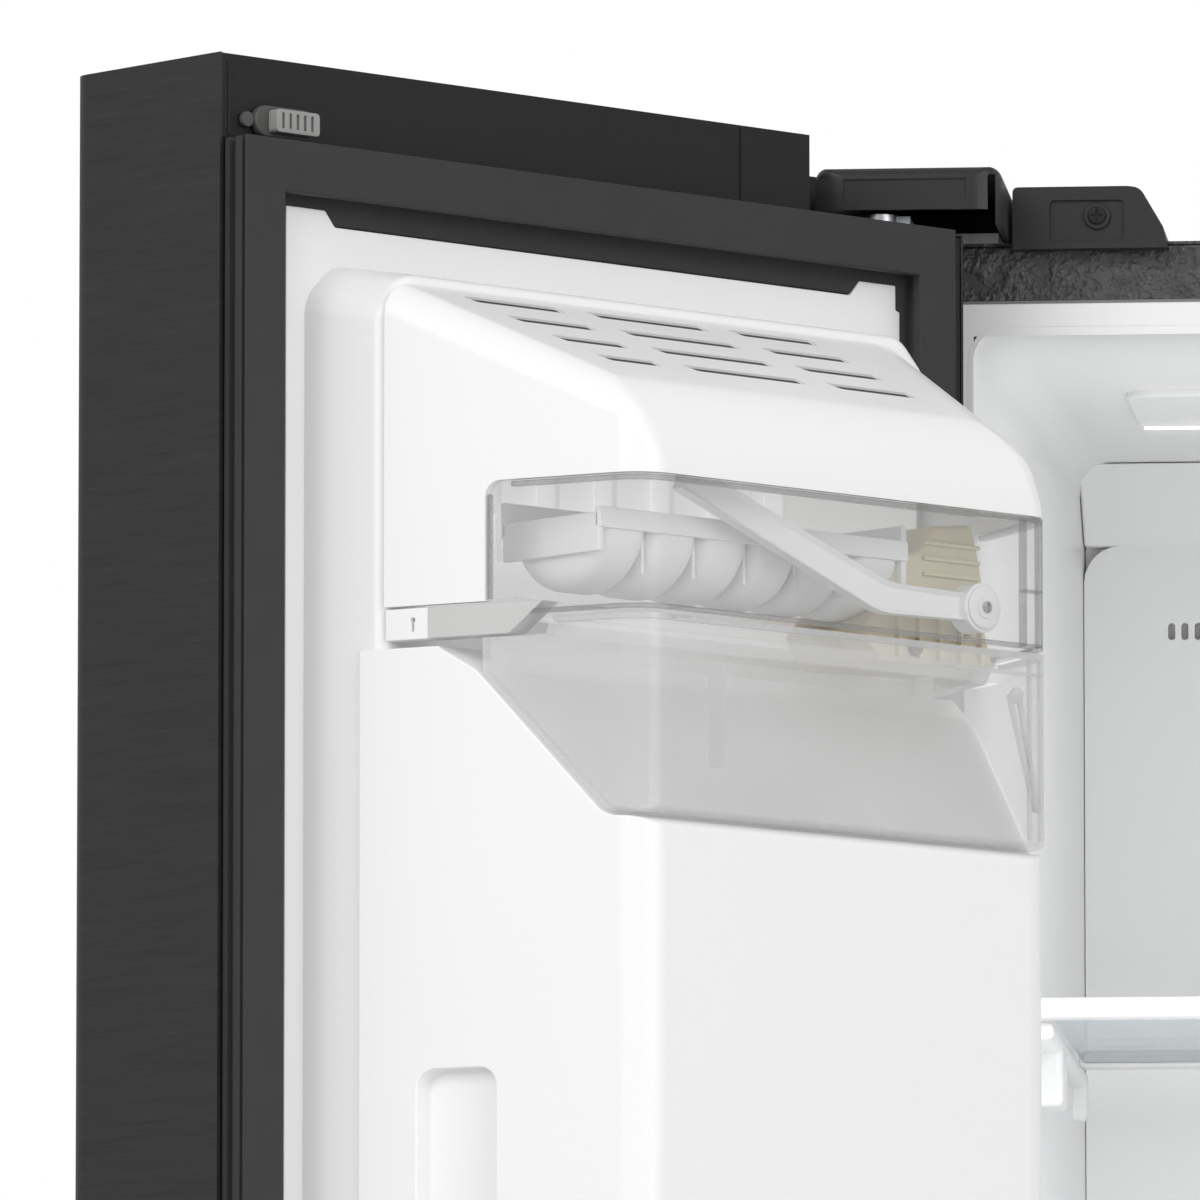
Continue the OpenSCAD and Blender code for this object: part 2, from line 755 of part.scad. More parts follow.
// the top and bottom caps hold the hinge pins' bores
module door_caps(w) {
  top_cap_z = door_top - cap_h;
  difference() {
    union() {
      pin_block(0);
      translate([0, 0, top_cap_z]) linear_extrude(cap_h) door_plan(w, skin_t);
      translate([0, 0, door_foot]) linear_extrude(cap_h - 5) door_plan(w, skin_t);
    }
    notch();
    slab([notch_w + 8, w - 12], [-door_t + 12, -12], [top_cap_z - eps, door_top - 4]);
    slab([notch_w + 8, w - 12], [-door_t + 12, -12], [door_foot + 4, door_foot + cap_h]);
    rod_z(hinge_x, -hinge_y, [cabinet_h - 32, cabinet_h + eps], pin_r + pin_play);
    rod_z(hinge_x, -hinge_y, [door_foot - eps, door_foot + 24], pin_r + pin_play);
  }
}

module door_foam(w) {
  difference() {
    translate([0, 0, door_foot + cap_h - 5])
      linear_extrude(door_top - door_foot - 2 * cap_h + 5) difference() {
        door_plan(w, skin_t);
        translate([0, -door_plate_t]) square([w, 10]);
      }
    grip_hole(w, skin_t);
    pin_block(0);
  }
}

// the flat plate of a door's liner and the border moulded on it, with the tray open inside
module liner_border(w, bins_top, bins_bottom) {
  x = [hinge_edge, border_end(w)];
  top = seal_top - 44;
  bottom = seal_bottom + 24;
  draft = 8;
  difference() {
    union() {
      slab([skin_t, w - skin_t], [-door_plate_t, 0], [door_foot + cap_h - 5, seal_top]);
      translate([0, 0, bottom]) linear_extrude(top - bottom)
        polygon([[x[0], 0], [x[1], 0], [x[1] - draft, border_h], [x[0] + 2, border_h]]);
    }
    slab([x[0] + bin_side, x[1] - bin_side - 4], [0, border_h + eps], [bins_bottom, bins_top]);
    for (side = [[x[0] + 4, x[0] + bin_side - 3], [x[1] - bin_side - 1, x[1] - draft - 3]])
      slab(side, [-door_plate_t - eps, border_h - 3], [bottom + 3, bins_top]);
  }
}

// bosses that a bin's end grooves hang on
module bin_bosses(x, zs) {
  for (z = zs)
    for (side = [[x[0] - eps, x[0] + 6], [x[1] - 6, x[1] + eps]]) rod_x(side, boss_y, z + boss_z, boss_r);
}

module gasket(w) {
  difference() {
    flat_ring([hinge_x, w - 2], [0, seal_gap - seal_play], [seal_bottom, seal_top], seal_w);
    flat_ring([hinge_x + 6, w - 8], [-eps, 5], [seal_bottom + 6, seal_top - 6], 8);
  }
}

// a trough with grooves in its ends for the bosses
module bin(x, depth, z, h) {
  bx = [x[0] + slide_play, x[1] - slide_play];
  difference() {
    slab(bx, [slide_play, depth], [z, z + h]);
    slab([bx[0] + drawer_t, bx[1] - drawer_t], [slide_play + drawer_t, depth - drawer_t], [z + drawer_t, z + far]);
    slab([0, cabinet_w], [slide_play + 30, depth - 14], [z + h - 18, z + far]);
    for (side = [[x[0], x[0] + 7], [x[1] - 7, x[1]]]) {
      slab(side, [boss_y - boss_r - 0.4, boss_y + boss_r + 0.4], [z - eps, z + boss_z]);
      rod_x(side, boss_y, z + boss_z, boss_r + 0.4);
    }
  }
}

function border_x(w) = [hinge_edge + bin_side, border_end(w) - bin_side - 4];
freezer_border = border_x(freezer_door_w);
fridge_border = border_x(fridge_door_w);

// ---- freezer door ----

module dispenser_hole(grow) {
  slab([recess_x[0] - grow, recess_x[1] + grow], [-door_t - eps, -door_t + recess_d + grow],
       [recess_z[0] - grow, recess_z[1] + grow]);
}

module freezer_door_skin() {
  color(dark_steel) in_freezer_door() difference() {
    door_skin(freezer_door_w);
    dispenser_hole(3);
  }
}

module freezer_door_caps() {
  color(dark_plastic) in_freezer_door() door_caps(freezer_door_w);
}

// the ice housing's outline seen from above, taken in by the wall's thickness
module bulge_plan(wall, back) {
  r = bulge_round;
  free_back = seal_edge - 8 - wall;
  free_front = free_back - free_draft * (bulge_d - border_h);
  hinge_back = hinge_edge + wall;
  hinge_front = hinge_back + 42;
  difference() {
    polygon([
      [hinge_edge - 1 + wall, back], [hinge_back + 1, border_h], [hinge_front, bulge_d - wall],
      [free_front, bulge_d - wall], [free_back, border_h], [seal_edge - wall, back]
    ]);
    translate([free_front - r + 3, bulge_d - wall - r + 3]) difference() {
      square([r + 4, r + 4]);
      circle(r);
    }
  }
}

// everything in the bulge's outline whose side profile is given as [y, z] points
module bulge_part(profile, wall, back) {
  intersection() {
    translate([0, 0, bulge_bottom]) linear_extrude(door_top - bulge_bottom) bulge_plan(wall, back);
    along_x([0, freezer_door_w]) polygon(profile);
  }
}

// top of the solid lower part, sloped under the bucket so that ice slides forward
low_profile = [
  [0, bulge_bottom], [bulge_d, bulge_bottom], [bulge_d, bucket_floor - 1], [130, bucket_floor - 1],
  [77, bucket_floor + 58], [60, bay_floor], [border_h, bay_floor], [border_h, slope_z + 4],
  [0, seal_top - 44]
];

// the foam that fills the solid lower part of the housing from behind
module bulge_core(top) {
  back = -door_plate_t - eps;
  bulge_part([[back, bulge_bottom + 4], [bulge_d - 4, bulge_bottom + 4], [bulge_d - 4, top], [back, top]], 4, back);
}

// a shallow grip in the free side of the housing
module side_recess(grow) {
  slab([free_side(recess_y[1]) - recess_depth - grow, far], [recess_y[0] - grow, recess_y[1] + grow],
       [side_recess_z[0] - grow, side_recess_z[1] + grow]);
}

module freezer_door_liner() {
  color(white_plastic) in_freezer_door() {
    bin_bosses(freezer_border, freezer_bin_z);
    difference() {
      union() {
        liner_border(freezer_door_w, bulge_bottom - 30, seal_bottom + 50);
        bulge_part(low_profile, 0, 0);
      }
      bulge_part([[bay_back, bay_floor], [border_h + eps, bay_floor], [border_h + eps, slope_z - 12],
                  [bay_back, slope_z - 6]], 10, bay_back);
      difference() {
        bulge_core(bucket_floor - 20);
        side_recess(4);
      }
      side_recess(0);
    }
  }
}

module freezer_door_foam() {
  color([0.93, 0.88, 0.7]) in_freezer_door() {
    difference() {
      door_foam(freezer_door_w);
      dispenser_hole(3);
    }
    difference() {
      bulge_core(bucket_floor - 20);
      side_recess(4);
    }
  }
}

module freezer_gasket() {
  color([0.24, 0.24, 0.25]) in_freezer_door() gasket(freezer_door_w);
}

// soft closers that meet the cabinet band, one near the free edge of each top cap
module door_bumpers() {
  color([0.45, 0.45, 0.46]) in_freezer_door() for (x = [[freezer_door_w - 48, freezer_door_w - 16]]) {
    z = cabinet_h - 3;
    slab([x[0] + 7, x[1] - 7], [0, 4], [z, z + 14]);
    for (cx = [x[0] + 7, x[1] - 7]) rod_y(cx, [0, 4], z + 7, 7);
    round_slab([x[0] + 5, x[1] - 5], [4, 9], [z + 2.5, z + 11.5], 1.5);
  }
}

module ice_housing() {
  front_top = bulge_front_top;
  wall = housing_wall;
  pitch = 20;
  color(white_plastic) in_freezer_door() difference() {
    bulge_part([[border_h, cover_z], [bulge_d, cover_z], [bulge_d, front_top],
                [border_h, slope_back[1]]], 0, 0);
    bulge_part([[border_h - eps, cover_z - eps], [bulge_d - wall, cover_z - eps],
                [bulge_d - wall, front_top - wall], [border_h - eps, slope_back[1] - wall]], wall, 0);
    slab([0, freezer_door_w], [cover_back, far], [0, cover_top]);
    for (row = [0:vent_rows - 1]) {
      run = 12 + row * pitch;
      edge = [border_h + run * cos(vent_slope), slope_back[1] - run * sin(vent_slope)];
      left = free_slot_end(edge[0]);
      for (slot = [[128, 170], [188, 246], [264, left]])
        translate([0, edge[0], edge[1]]) rotate([-vent_slope, 0, 0])
          slab(slot, [-2.5, 2.5], [-8, 8]);
    }
  }
}

// where the housing's free side is at a depth, and where its vents end
function free_side(y) = seal_edge - 8 - free_draft * (y - border_h);
function free_slot_end(y) = free_side(y) - 31;

module ice_cover() {
  profile = [[cover_back + 0.5, cover_z + 0.5], [bulge_d, cover_z + 0.5],
             [bulge_d, cover_top - 0.5], [cover_back + 0.5, cover_top - 0.5]];
  color(clear_plastic) in_freezer_door() difference() {
    bulge_part(profile, 0, 0);
    bulge_part([[0, cover_z], [bulge_d - 2, cover_z], [bulge_d - 2, cover_top], [0, cover_top]], 2, 0);
  }
}

// rails on both sides that the bucket and the cover are carried by
module bucket_rail() {
  color([0.6, 0.6, 0.6]) in_freezer_door() difference() {
    bulge_part([[border_h + 0.5, rail_z], [90, rail_z], [90, cover_z - 0.5],
                [border_h + 0.5, cover_z - 0.5]], 0, 0);
    bulge_part([[0, 0], [far, 0], [far, far], [0, far]], 10, 0);
  }
}

// motor housing of the ice maker and the bracket that holds the tray's far end
module ice_drive() {
  color([0.87, 0.82, 0.68]) in_freezer_door() {
    difference() {
      union() {
        slab([drive_x[0] + 10, drive_x[1]], [bay_back, 112], [cover_z + 1, cover_top + 4]);
        slab(drive_x, [bay_back, 76], [bay_floor, cover_top + 4]);
        slab([drive_x[1], tray_x[0] - 4], [bay_back, 76], [cover_z + 10, cover_top + 6]);
      }
      slab([drive_x[0] + 14, drive_x[1] - 4], [bay_back + 10, 60], [bay_floor + 10, cover_top]);
    }
    rod_x([drive_x[1] - eps, tray_x[0] + 10], tray_axis[0], tray_axis[1], 4);
    rod_y(hub_x, [110, arm_y[1] + 1], hub_z, arm_shaft_r);
    slab([tray_x[1] + 3, tray_x[1] + 8], [bay_back, tray_axis[0] + 8], [tray_axis[1] - 10, tray_axis[1] + 10]);
    rod_x([tray_x[1] - 8, tray_x[1] + 8], tray_axis[0], tray_axis[1], 4);
  }
}

module ice_tray() {
  cells = 6;
  pitch = (tray_x[1] - tray_x[0] - 6) / cells;
  y = [tray_axis[0] - tray_size[0] / 2, tray_axis[0] + tray_size[0] / 2];
  z = [tray_axis[1] - tray_size[1] / 2, tray_axis[1] + tray_size[1] / 2];
  color(white_plastic) in_freezer_door() difference() {
    slab(tray_x, y, z);
    for (i = [0:cells - 1])
      for (row = [0, 1])
        slab([tray_x[0] + 12 + i * (pitch - 4), tray_x[0] + 10 + i * (pitch - 4) + pitch - 6],
             [y[0] + 3 + row * 27, y[0] + 26 + row * 27], [z[0] + 20, z[1] + eps]);
    rod_x([0, far], tray_axis[0], tray_axis[1], 4 + pin_play);
  }
}

// the arm that feels how full the bucket is, turning on the drive's shaft
module feeler_arm() {
  z = hub_z;
  color(white_plastic) in_freezer_door() difference() {
    union() {
      rod_y(hub_x, [arm_y[0] - 4, arm_y[1]], z, hub_r);
      slab([hub_x, hub_x + 50], arm_y, [z - 5, z + 5]);
      translate([hub_x + 47, 0, z]) rotate([0, -24, 0]) slab([0, 92], arm_y, [-5, 5]);
    }
    rod_y(hub_x, [0, bulge_d], z, arm_shaft_r + pin_play);
  }
}

// the clear bucket lies over the sloped top of the liner
module ice_bucket() {
  t = 2.5;
  color(clear_plastic) in_freezer_door() difference() {
    bulge_part([[bucket_back, rail_z - 1], [bucket_back, bucket_floor + 57], [131, bucket_floor],
                [bulge_d, bucket_floor], [bulge_d, bucket_rim], [92, bucket_rim], [92, rail_z - 1]], 0, 0);
    bulge_part([[95, far], [95, bucket_floor + 44], [132, bucket_floor + t], [bulge_d - t, bucket_floor + t],
                [bulge_d - t, far]], t, 0);
  }
}

module dispenser_housing() {
  t = 3;
  face = -door_t - 2;
  color(dark_plastic) in_freezer_door() difference() {
    union() {
      round_slab(dispenser_x, [face, -door_t], dispenser_z, 0.9);
      slab([recess_x[0] - t, recess_x[1] + t], [-door_t, -door_t + recess_d + t], [recess_z[0] - t, recess_z[1] + t]);
    }
    slab(recess_x, [face - eps, -door_t + recess_d], recess_z);
    rod_x([recess_x[0] - 2.5, recess_x[1] + 2.5], paddle_y, paddle_z, 3 + pin_play);
  }
}

module dispenser_paddle() {
  x = [recess_x[0] + 46, recess_x[1] - 46];
  color(bare_steel) in_freezer_door() {
    rod_x([recess_x[0] - 2, recess_x[1] + 2], paddle_y, paddle_z, 3);
    slab(x, [paddle_y - 1.5, paddle_y + 1.5], [paddle_z - 96, paddle_z]);
  }
}

module freezer_bin_upper() {
  color(clear_plastic) in_freezer_door() bin(freezer_border, bin_d, freezer_bin_z[1], bin_h);
}

module freezer_bin_lower() {
  color(clear_plastic) in_freezer_door() bin(freezer_border, bin_d, freezer_bin_z[0], bin_h);
}

// ---- fridge door ----

module fridge_door_skin() {
  color(dark_steel) in_fridge_door() door_skin(fridge_door_w);
}

module fridge_door_caps() {
  color(dark_plastic) in_fridge_door() door_caps(fridge_door_w);
}

module fridge_door_foam() {
  color([0.93, 0.88, 0.7]) in_fridge_door() door_foam(fridge_door_w);
}

// the dairy box is moulded on the door's liner, and its lid turns on two pins
module fridge_door_liner() {
  x = fridge_border;
  color(white_plastic) in_fridge_door() {
    liner_border(fridge_door_w, seal_top - 70, seal_bottom + 50);
    bin_bosses(x, fridge_bin_z);
    difference() {
      slab([x[0], x[1]], [0, dairy_d], [dairy_z, dairy_z + dairy_h]);
      slab([x[0] + 6, x[1] - 6], [eps, dairy_d + eps], [dairy_z + 3, dairy_z + dairy_h - 3]);
    }
    for (side = [[x[0] + 5, x[0] + 12], [x[1] - 12, x[1] - 5]]) rod_x(side, lid_axis[0], lid_axis[1], 1.8);
  }
}

module fridge_gasket() {
  color([0.24, 0.24, 0.25]) in_fridge_door() gasket(fridge_door_w);
}

module dairy_lid() {
  x = [fridge_border[0] + 7, fridge_border[1] - 7];
  z = [dairy_z + 4, dairy_z + dairy_h - 5];
  color(clear_plastic) in_fridge_door() difference() {
    union() {
      slab(x, [dairy_d - 7, dairy_d - 4], [z[0], lid_axis[1]]);
      rod_x(x, lid_axis[0], lid_axis[1], 4);
      slab([(x[0] + x[1]) / 2 - 40, (x[0] + x[1]) / 2 + 40], [dairy_d - 4, dairy_d + 4], [z[0], z[0] + 4]);
    }
    rod_x([x[0] - eps, x[0] + 6], lid_axis[0], lid_axis[1], 1.8 + pin_play);
    rod_x([x[1] - 6, x[1] + eps], lid_axis[0], lid_axis[1], 1.8 + pin_play);
  }
}

module fridge_bin_upper() {
  color(clear_plastic) in_fridge_door() bin(fridge_border, fridge_bin_d[2], fridge_bin_z[2], bin_h);
}

module fridge_bin_middle() {
  color(clear_plastic) in_fridge_door() bin(fridge_border, fridge_bin_d[1], fridge_bin_z[1], bin_h);
}

module fridge_bin_lower() {
  color(clear_plastic) in_fridge_door() bin(fridge_border, fridge_bin_d[0], fridge_bin_z[0], bin_h);
}

cabinet_shell();
front_frame();
back_panel();
cabinet_foam();
freezer_liner();
fridge_liner();
base_frame();
kick_plate();
freezer_duct();
fridge_duct();
interior_lamps();
shelf_glass();
shelf_trims();
door_hinges();
hinge_covers();
wire_covers();
cover_screws();
compressor();
condenser();
machine_cover();
evaporator();
water_valve();
cord_inlet();
rear_roller_left();
rear_roller_right();
front_foot_left();
front_foot_right();
evaporator_fan();
condenser_fan();
freezer_basket_upper();
freezer_basket_lower();
crisper_upper();
crisper_lower();
freezer_door_skin();
freezer_door_caps();
freezer_door_foam();
freezer_door_liner();
freezer_gasket();
door_bumpers();
ice_housing();
ice_cover();
bucket_rail();
ice_drive();
ice_tray();
feeler_arm();
ice_bucket();
dispenser_housing();
dispenser_paddle();
freezer_bin_upper();
freezer_bin_lower();
fridge_door_skin();
fridge_door_caps();
fridge_door_foam();
fridge_door_liner();
fridge_gasket();
fridge_bin_upper();
fridge_bin_middle();
fridge_bin_lower();
dairy_lid();
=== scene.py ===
import json
from math import atan2, cos, degrees, pi, radians, sin, tan
import bmesh
import bpy
from bpy.props import FloatProperty, FloatVectorProperty, IntProperty, PointerProperty
from bpy.types import Operator, Panel, PropertyGroup
from mathutils import Matrix, Vector


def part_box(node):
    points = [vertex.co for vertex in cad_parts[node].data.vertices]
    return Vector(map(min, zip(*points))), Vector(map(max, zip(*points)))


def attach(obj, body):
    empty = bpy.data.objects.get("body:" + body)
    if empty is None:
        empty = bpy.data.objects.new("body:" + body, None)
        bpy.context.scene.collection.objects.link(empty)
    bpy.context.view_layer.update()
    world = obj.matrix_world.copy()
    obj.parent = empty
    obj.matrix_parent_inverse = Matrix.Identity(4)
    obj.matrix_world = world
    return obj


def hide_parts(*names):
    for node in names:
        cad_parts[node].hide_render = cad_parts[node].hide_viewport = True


bl_info = {
    "name": "Side by Side Refrigerator",
    "version": (1, 0, 0),
    "blender": (4, 5, 0),
    "location": "View3D > Sidebar > Refrigerator",
    "description": "Dresses the packed refrigerator frame with detailed pieces, finishes and a studio",
    "category": "Object",
}

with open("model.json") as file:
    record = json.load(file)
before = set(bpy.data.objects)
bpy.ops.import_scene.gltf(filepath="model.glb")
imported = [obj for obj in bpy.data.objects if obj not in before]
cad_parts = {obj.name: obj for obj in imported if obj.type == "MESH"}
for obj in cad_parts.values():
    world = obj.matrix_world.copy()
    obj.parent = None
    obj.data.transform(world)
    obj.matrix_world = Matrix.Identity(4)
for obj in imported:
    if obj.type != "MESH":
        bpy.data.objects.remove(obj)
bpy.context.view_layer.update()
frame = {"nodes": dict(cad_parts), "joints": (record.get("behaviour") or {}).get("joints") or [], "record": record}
JOINTS = {joint["name"]: joint for joint in frame["joints"]}
MM = Matrix.Scale(0.001, 4)

# heights and depths of the doors and the ice maker, in millimetres
DOOR_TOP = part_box("freezer_door_skin")[1].z * 1000
DOOR_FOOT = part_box("freezer_door_skin")[0].z * 1000
CABINET_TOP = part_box("cabinet_shell")[1].z * 1000
CABINET_W = 913
SEAL_TOP = DOOR_TOP - 33
SEAL_FOOT = DOOR_FOOT + 28
HINGE_IN = 17
HINGE_OUT = 30
BAND = 23.5
LIP = 10.5
ROOM_TOP = CABINET_TOP - BAND - LIP
ROOM_FLOOR = 132
HUMP = (348, 332)
BORDER = 40
TOWER_D = 146
TOWER_FOOT = 880
COVER_Z = SEAL_TOP - 180.5
COVER_TOP = COVER_Z + 46
COVER_BACK = 81.5
BUCKET_FLOOR = COVER_Z - 83
SLOPE_TOP = SEAL_TOP - 54.7
SLOPE = 0.478
SHELF_DROP = 264
SHELF_PITCH = 270
BEVEL_BASE = 0.04


# ---- places ----

def cabinet_place():
    """Cabinet millimetres: X from its left side, Y from its front plane."""
    return Matrix.Translation((-0.047, -0.040, 0)) @ MM


def door_place(joint, mirrored=False):
    """Door millimetres as closed: X from the hinge side, Y from the seal plane towards the cabinet."""
    pin = Vector(JOINTS[joint]["pos_m"])
    turn = radians(JOINTS[joint]["range_deg"][0])
    if mirrored:
        half = Matrix.Diagonal((-1, 1, 1, 1)) @ Matrix.Rotation(turn, 4, "Z")
    else:
        half = Matrix.Rotation(turn, 4, "Z")
    offset = Matrix.Translation((-HINGE_IN / 1000, HINGE_OUT / 1000, 0))
    return Matrix.Translation(pin) @ half @ offset @ MM


# ---- shader maths ----

class Value:
    """A socket that adds Math nodes when it is used in an expression."""

    def __init__(self, finish, socket):
        self.finish = finish
        self.socket = socket

    def maths(self, operation, first, second):
        made = self.finish.node("ShaderNodeMath", {"operation": operation}, {0: first, 1: second})
        return Value(self.finish, made.outputs[0])

    def __add__(self, other):
        return self.maths("ADD", self, other)

    def __radd__(self, other):
        return self.maths("ADD", other, self)

    def __sub__(self, other):
        return self.maths("SUBTRACT", self, other)

    def __rsub__(self, other):
        return self.maths("SUBTRACT", other, self)

    def __mul__(self, other):
        return self.maths("MULTIPLY", self, other)

    def __rmul__(self, other):
        return self.maths("MULTIPLY", other, self)

    def __pow__(self, other):
        return self.maths("POWER", self, other)


class Finish:
    """One procedural material."""

    def __init__(self, name, **constants):
        self.material = bpy.data.materials.new(name)
        self.material.use_nodes = True
        self.tree = self.material.node_tree
        self.shader = self.tree.nodes["Principled BSDF"]
        for socket, value in constants.items():
            self.shader.inputs[socket.replace("_", " ").title().replace("Ior", "IOR")].default_value = value

    def node(self, kind, settings, sockets):
        made = self.tree.nodes.new(kind)
        for key, value in settings.items():
            if key == "stops":
                while len(made.color_ramp.elements) < len(value):
                    made.color_ramp.elements.new(0.5)
                for element, (at, colour) in zip(made.color_ramp.elements, value):
                    element.position = at
                    element.color = colour
            else:
                setattr(made, key, value)
        for key, value in sockets.items():
            self.feed(made.inputs[key], value)
        return made

    def feed(self, socket, value):
        if isinstance(value, Value):
            value = value.socket
        if isinstance(value, bpy.types.NodeSocket):
            self.tree.links.new(value, socket)
        else:
            socket.default_value = value

    def place(self, scale=(1, 1, 1)):
        where = self.node("ShaderNodeTexCoord", {}, {})
        sockets = {"Vector": where.outputs["Object"], "Scale": scale}
        return self.node("ShaderNodeMapping", {}, sockets).outputs[0]

    def noise(self, size, detail=3.0, rough=0.5, stretch=(1, 1, 1)):
        made = self.node("ShaderNodeTexNoise", {}, {
            "Vector": self.place(stretch), "Scale": 1 / size, "Detail": detail, "Roughness": rough})
        return Value(self, made.outputs["Fac"])

    def between(self, mask, low, high):
        made = self.node("ShaderNodeMapRange", {"clamp": True}, {
            "Value": mask, "From Min": low, "From Max": high})
        return Value(self, made.outputs["Result"])

    def blend(self, mask, first, second):
        made = self.node("ShaderNodeMix", {"data_type": "RGBA"}, {
            "Factor": mask, 6: rgba(first) if not isinstance(first, bpy.types.NodeSocket) else first,
            7: rgba(second) if not isinstance(second, bpy.types.NodeSocket) else second})
        return made.outputs[2]

    def facing(self, amount):
        return Value(self, self.node("ShaderNodeLayerWeight", {}, {"Blend": amount}).outputs["Facing"])

    def bump(self, height, strength, distance):
        made = self.node("ShaderNodeBump", {}, {"Height": height, "Strength": strength, "Distance": distance})
        self.feed(self.shader.inputs["Normal"], made.outputs[0])

    def colour(self, value):
        self.feed(self.shader.inputs["Base Color"], value)

    def rough(self, value):
        self.feed(self.shader.inputs["Roughness"], value)

    def alpha(self, value):
        self.feed(self.shader.inputs["Alpha"], value)


def rgba(colour):
    return (*tuple(colour)[:3], 1.0)


def darker(colour, by):
    return tuple(channel * by for channel in tuple(colour)[:3])


# ---- finishes, one for each material slot ----

def brushed_steel(look):
    """Dark stainless sheet, brushed along the horizontal, under a clear coat."""
    made = Finish("dark_brushed_steel", metallic=0.6, coat_weight=0.06, coat_roughness=0.3,
                  specular_ior_level=0.2)
    fine = made.noise(0.0007, 3.0, 0.6, (0.03, 0.03, 1.0))
    broad = made.noise(0.0035, 2.0, 0.5, (0.06, 0.06, 1.0))
    smudge = made.noise(0.22, 3.0, 0.55)
    line = made.between(fine * 0.6 + broad * 0.4, 0.3, 0.7)
    base = look.steel
    made.colour(made.blend(line, darker(base, 0.84), darker(base, 1.18)))
    made.rough(0.4 + line * 0.1 + smudge * 0.08)
    made.bump(line, 0.1, 0.0002)
    return made.material


def textured_enamel(look):
    """Black painted sheet with a leathery grain. Its colour is darker in the grain's low pits and lighter on the
    raised tops: painted shade in the pits, with a random cloud of tone.
    """
    made = Finish("textured_black_enamel", coat_weight=0.1, coat_roughness=0.3)
    grain = made.noise(0.0075, 2.5, 0.55)
    pits = made.noise(0.003, 2.0, 0.6)
    cloud = made.noise(0.12, 2.0)
    height = made.between(grain * 0.7 + pits * 0.3, 0.4, 0.6)
    # painted shade: the colour follows the grain's height, darker in the pits
    made.colour(made.blend(height * 0.7 + cloud * 0.3, darker(look.enamel, 0.75), darker(look.enamel, 1.3)))
    made.rough(0.36 + (1 - height) * 0.2)
    made.bump(height, 1.0, 0.0012)
    return made.material


def satin_plastic(name, base, size=0.0012, roughness=0.42, strength=0.12):
    """Moulded plastic with a fine etched skin."""
    made = Finish(name, specular_ior_level=0.3)
    etched = made.noise(size, 2.0, 0.6)
    cloud = made.noise(0.09, 3.0)
    made.colour(made.blend(cloud, darker(base, 0.94), darker(base, 1.1)))
    made.rough(roughness + etched * 0.12)
    made.bump(etched, strength, 0.00015)
    return made.material


def gloss_white(look, name="glossy_white_moulding", glow=0.0):
    """Vacuum-formed white liner: glossy, with faint ripples and a soft skin. A glow above zero adds painted light:
    emission that brightens shaded inner pieces, which are no lamp.
    """
    made = Finish(name, emission_strength=glow, coat_weight=0.1, coat_roughness=0.2, specular_ior_level=0.35)
    ripple = made.noise(0.06, 2.0, 0.4)
    skin = made.noise(0.0025, 2.0, 0.5)
    made.colour(made.blend(ripple, darker(look.white, 0.99), look.white))
    made.rough(0.3 + ripple * 0.06 + skin * 0.05)
    # painted light: the emission colour follows the white, so the piece glows as if lit
    if glow:
        made.feed(made.shader.inputs["Emission Color"],
                  made.blend(ripple, darker(look.white, 0.96), look.white))
    made.bump(ripple * 0.85 + skin * 0.15, 0.02, 0.0005)
    return made.material


def clear_plastic(name, tint, body, rim):
    """Clear moulding: nearly invisible face on, greyer where it turns away. The grey at grazing angles is painted:
    the tint shown there stands in for the reflections and refraction lines along the clear walls' edges.
    """
    made = Finish(name, ior=1.49, specular_ior_level=0.5)
    # painted reflection: opacity rises where the surface turns away, so the tint shows at the rims
    turned = made.facing(0.3)
    flow = made.noise(0.05, 2.0, 0.45)
    made.colour(made.blend(flow, darker(tint, 0.94), tint))
    made.alpha(made.between(body + flow * 0.03 + (turned ** 2.0) * rim, 0.0, 1.0))
    made.rough(0.05 + flow * 0.05)
    made.bump(flow, 0.04, 0.0006)
    return made.material


def seal_rubber(look):
    """Soft vinyl seal with a powdery bloom."""
    made = Finish("seal_rubber", specular_ior_level=0.25)
    bloom = made.noise(0.02, 4.0, 0.6)
    grain = made.noise(0.0011, 2.0, 0.5)
    made.colour(made.blend(bloom, darker(look.seal, 0.85), darker(look.seal, 1.2)))
    made.rough(0.5 + bloom * 0.16)
    made.bump(grain, 0.1, 0.00015)
    return made.material


def cream_plastic(look):
    """Translucent cream gear housing."""
    made = Finish("cream_drive_plastic", subsurface_weight=0.35, subsurface_scale=0.006)
    mottled = made.noise(0.012, 3.0, 0.55)
    streak = made.noise(0.03, 2.0, 0.5, (1, 1, 0.3))
    made.colour(made.blend(streak * 0.6 + mottled * 0.4, look.cream, darker(look.cream, 0.66)))
    made.rough(0.3 + mottled * 0.15)
    made.bump(mottled, 0.1, 0.0004)
    return made.material


def zinc_steel(look):
    made = Finish("zinc_plated_steel", metallic=1.0)
    crystal = made.node("ShaderNodeTexVoronoi", {"feature": "F1"}, {
        "Vector": made.place(), "Scale": 140.0, "Randomness": 1.0})
    flake = Value(made, crystal.outputs["Distance"])
    rubbed = made.noise(0.004, 3.0)
    made.colour(made.blend(made.between(flake, 0.1, 0.6), look.zinc, darker(look.zinc, 0.82)))
    made.rough(0.26 + rubbed * 0.2)
    made.bump(rubbed, 0.08, 0.0002)
    return made.material


def foam(look):
    made = Finish("insulating_foam")
    cells = made.noise(0.003, 4.0, 0.65)
    cloud = made.noise(0.08, 3.0)
    made.colour(made.blend(cloud, (0.83, 0.7, 0.42), (0.9, 0.8, 0.56)))
    made.rough(0.75 + cells * 0.15)
    made.bump(cells, 0.6, 0.001)
    return made.material


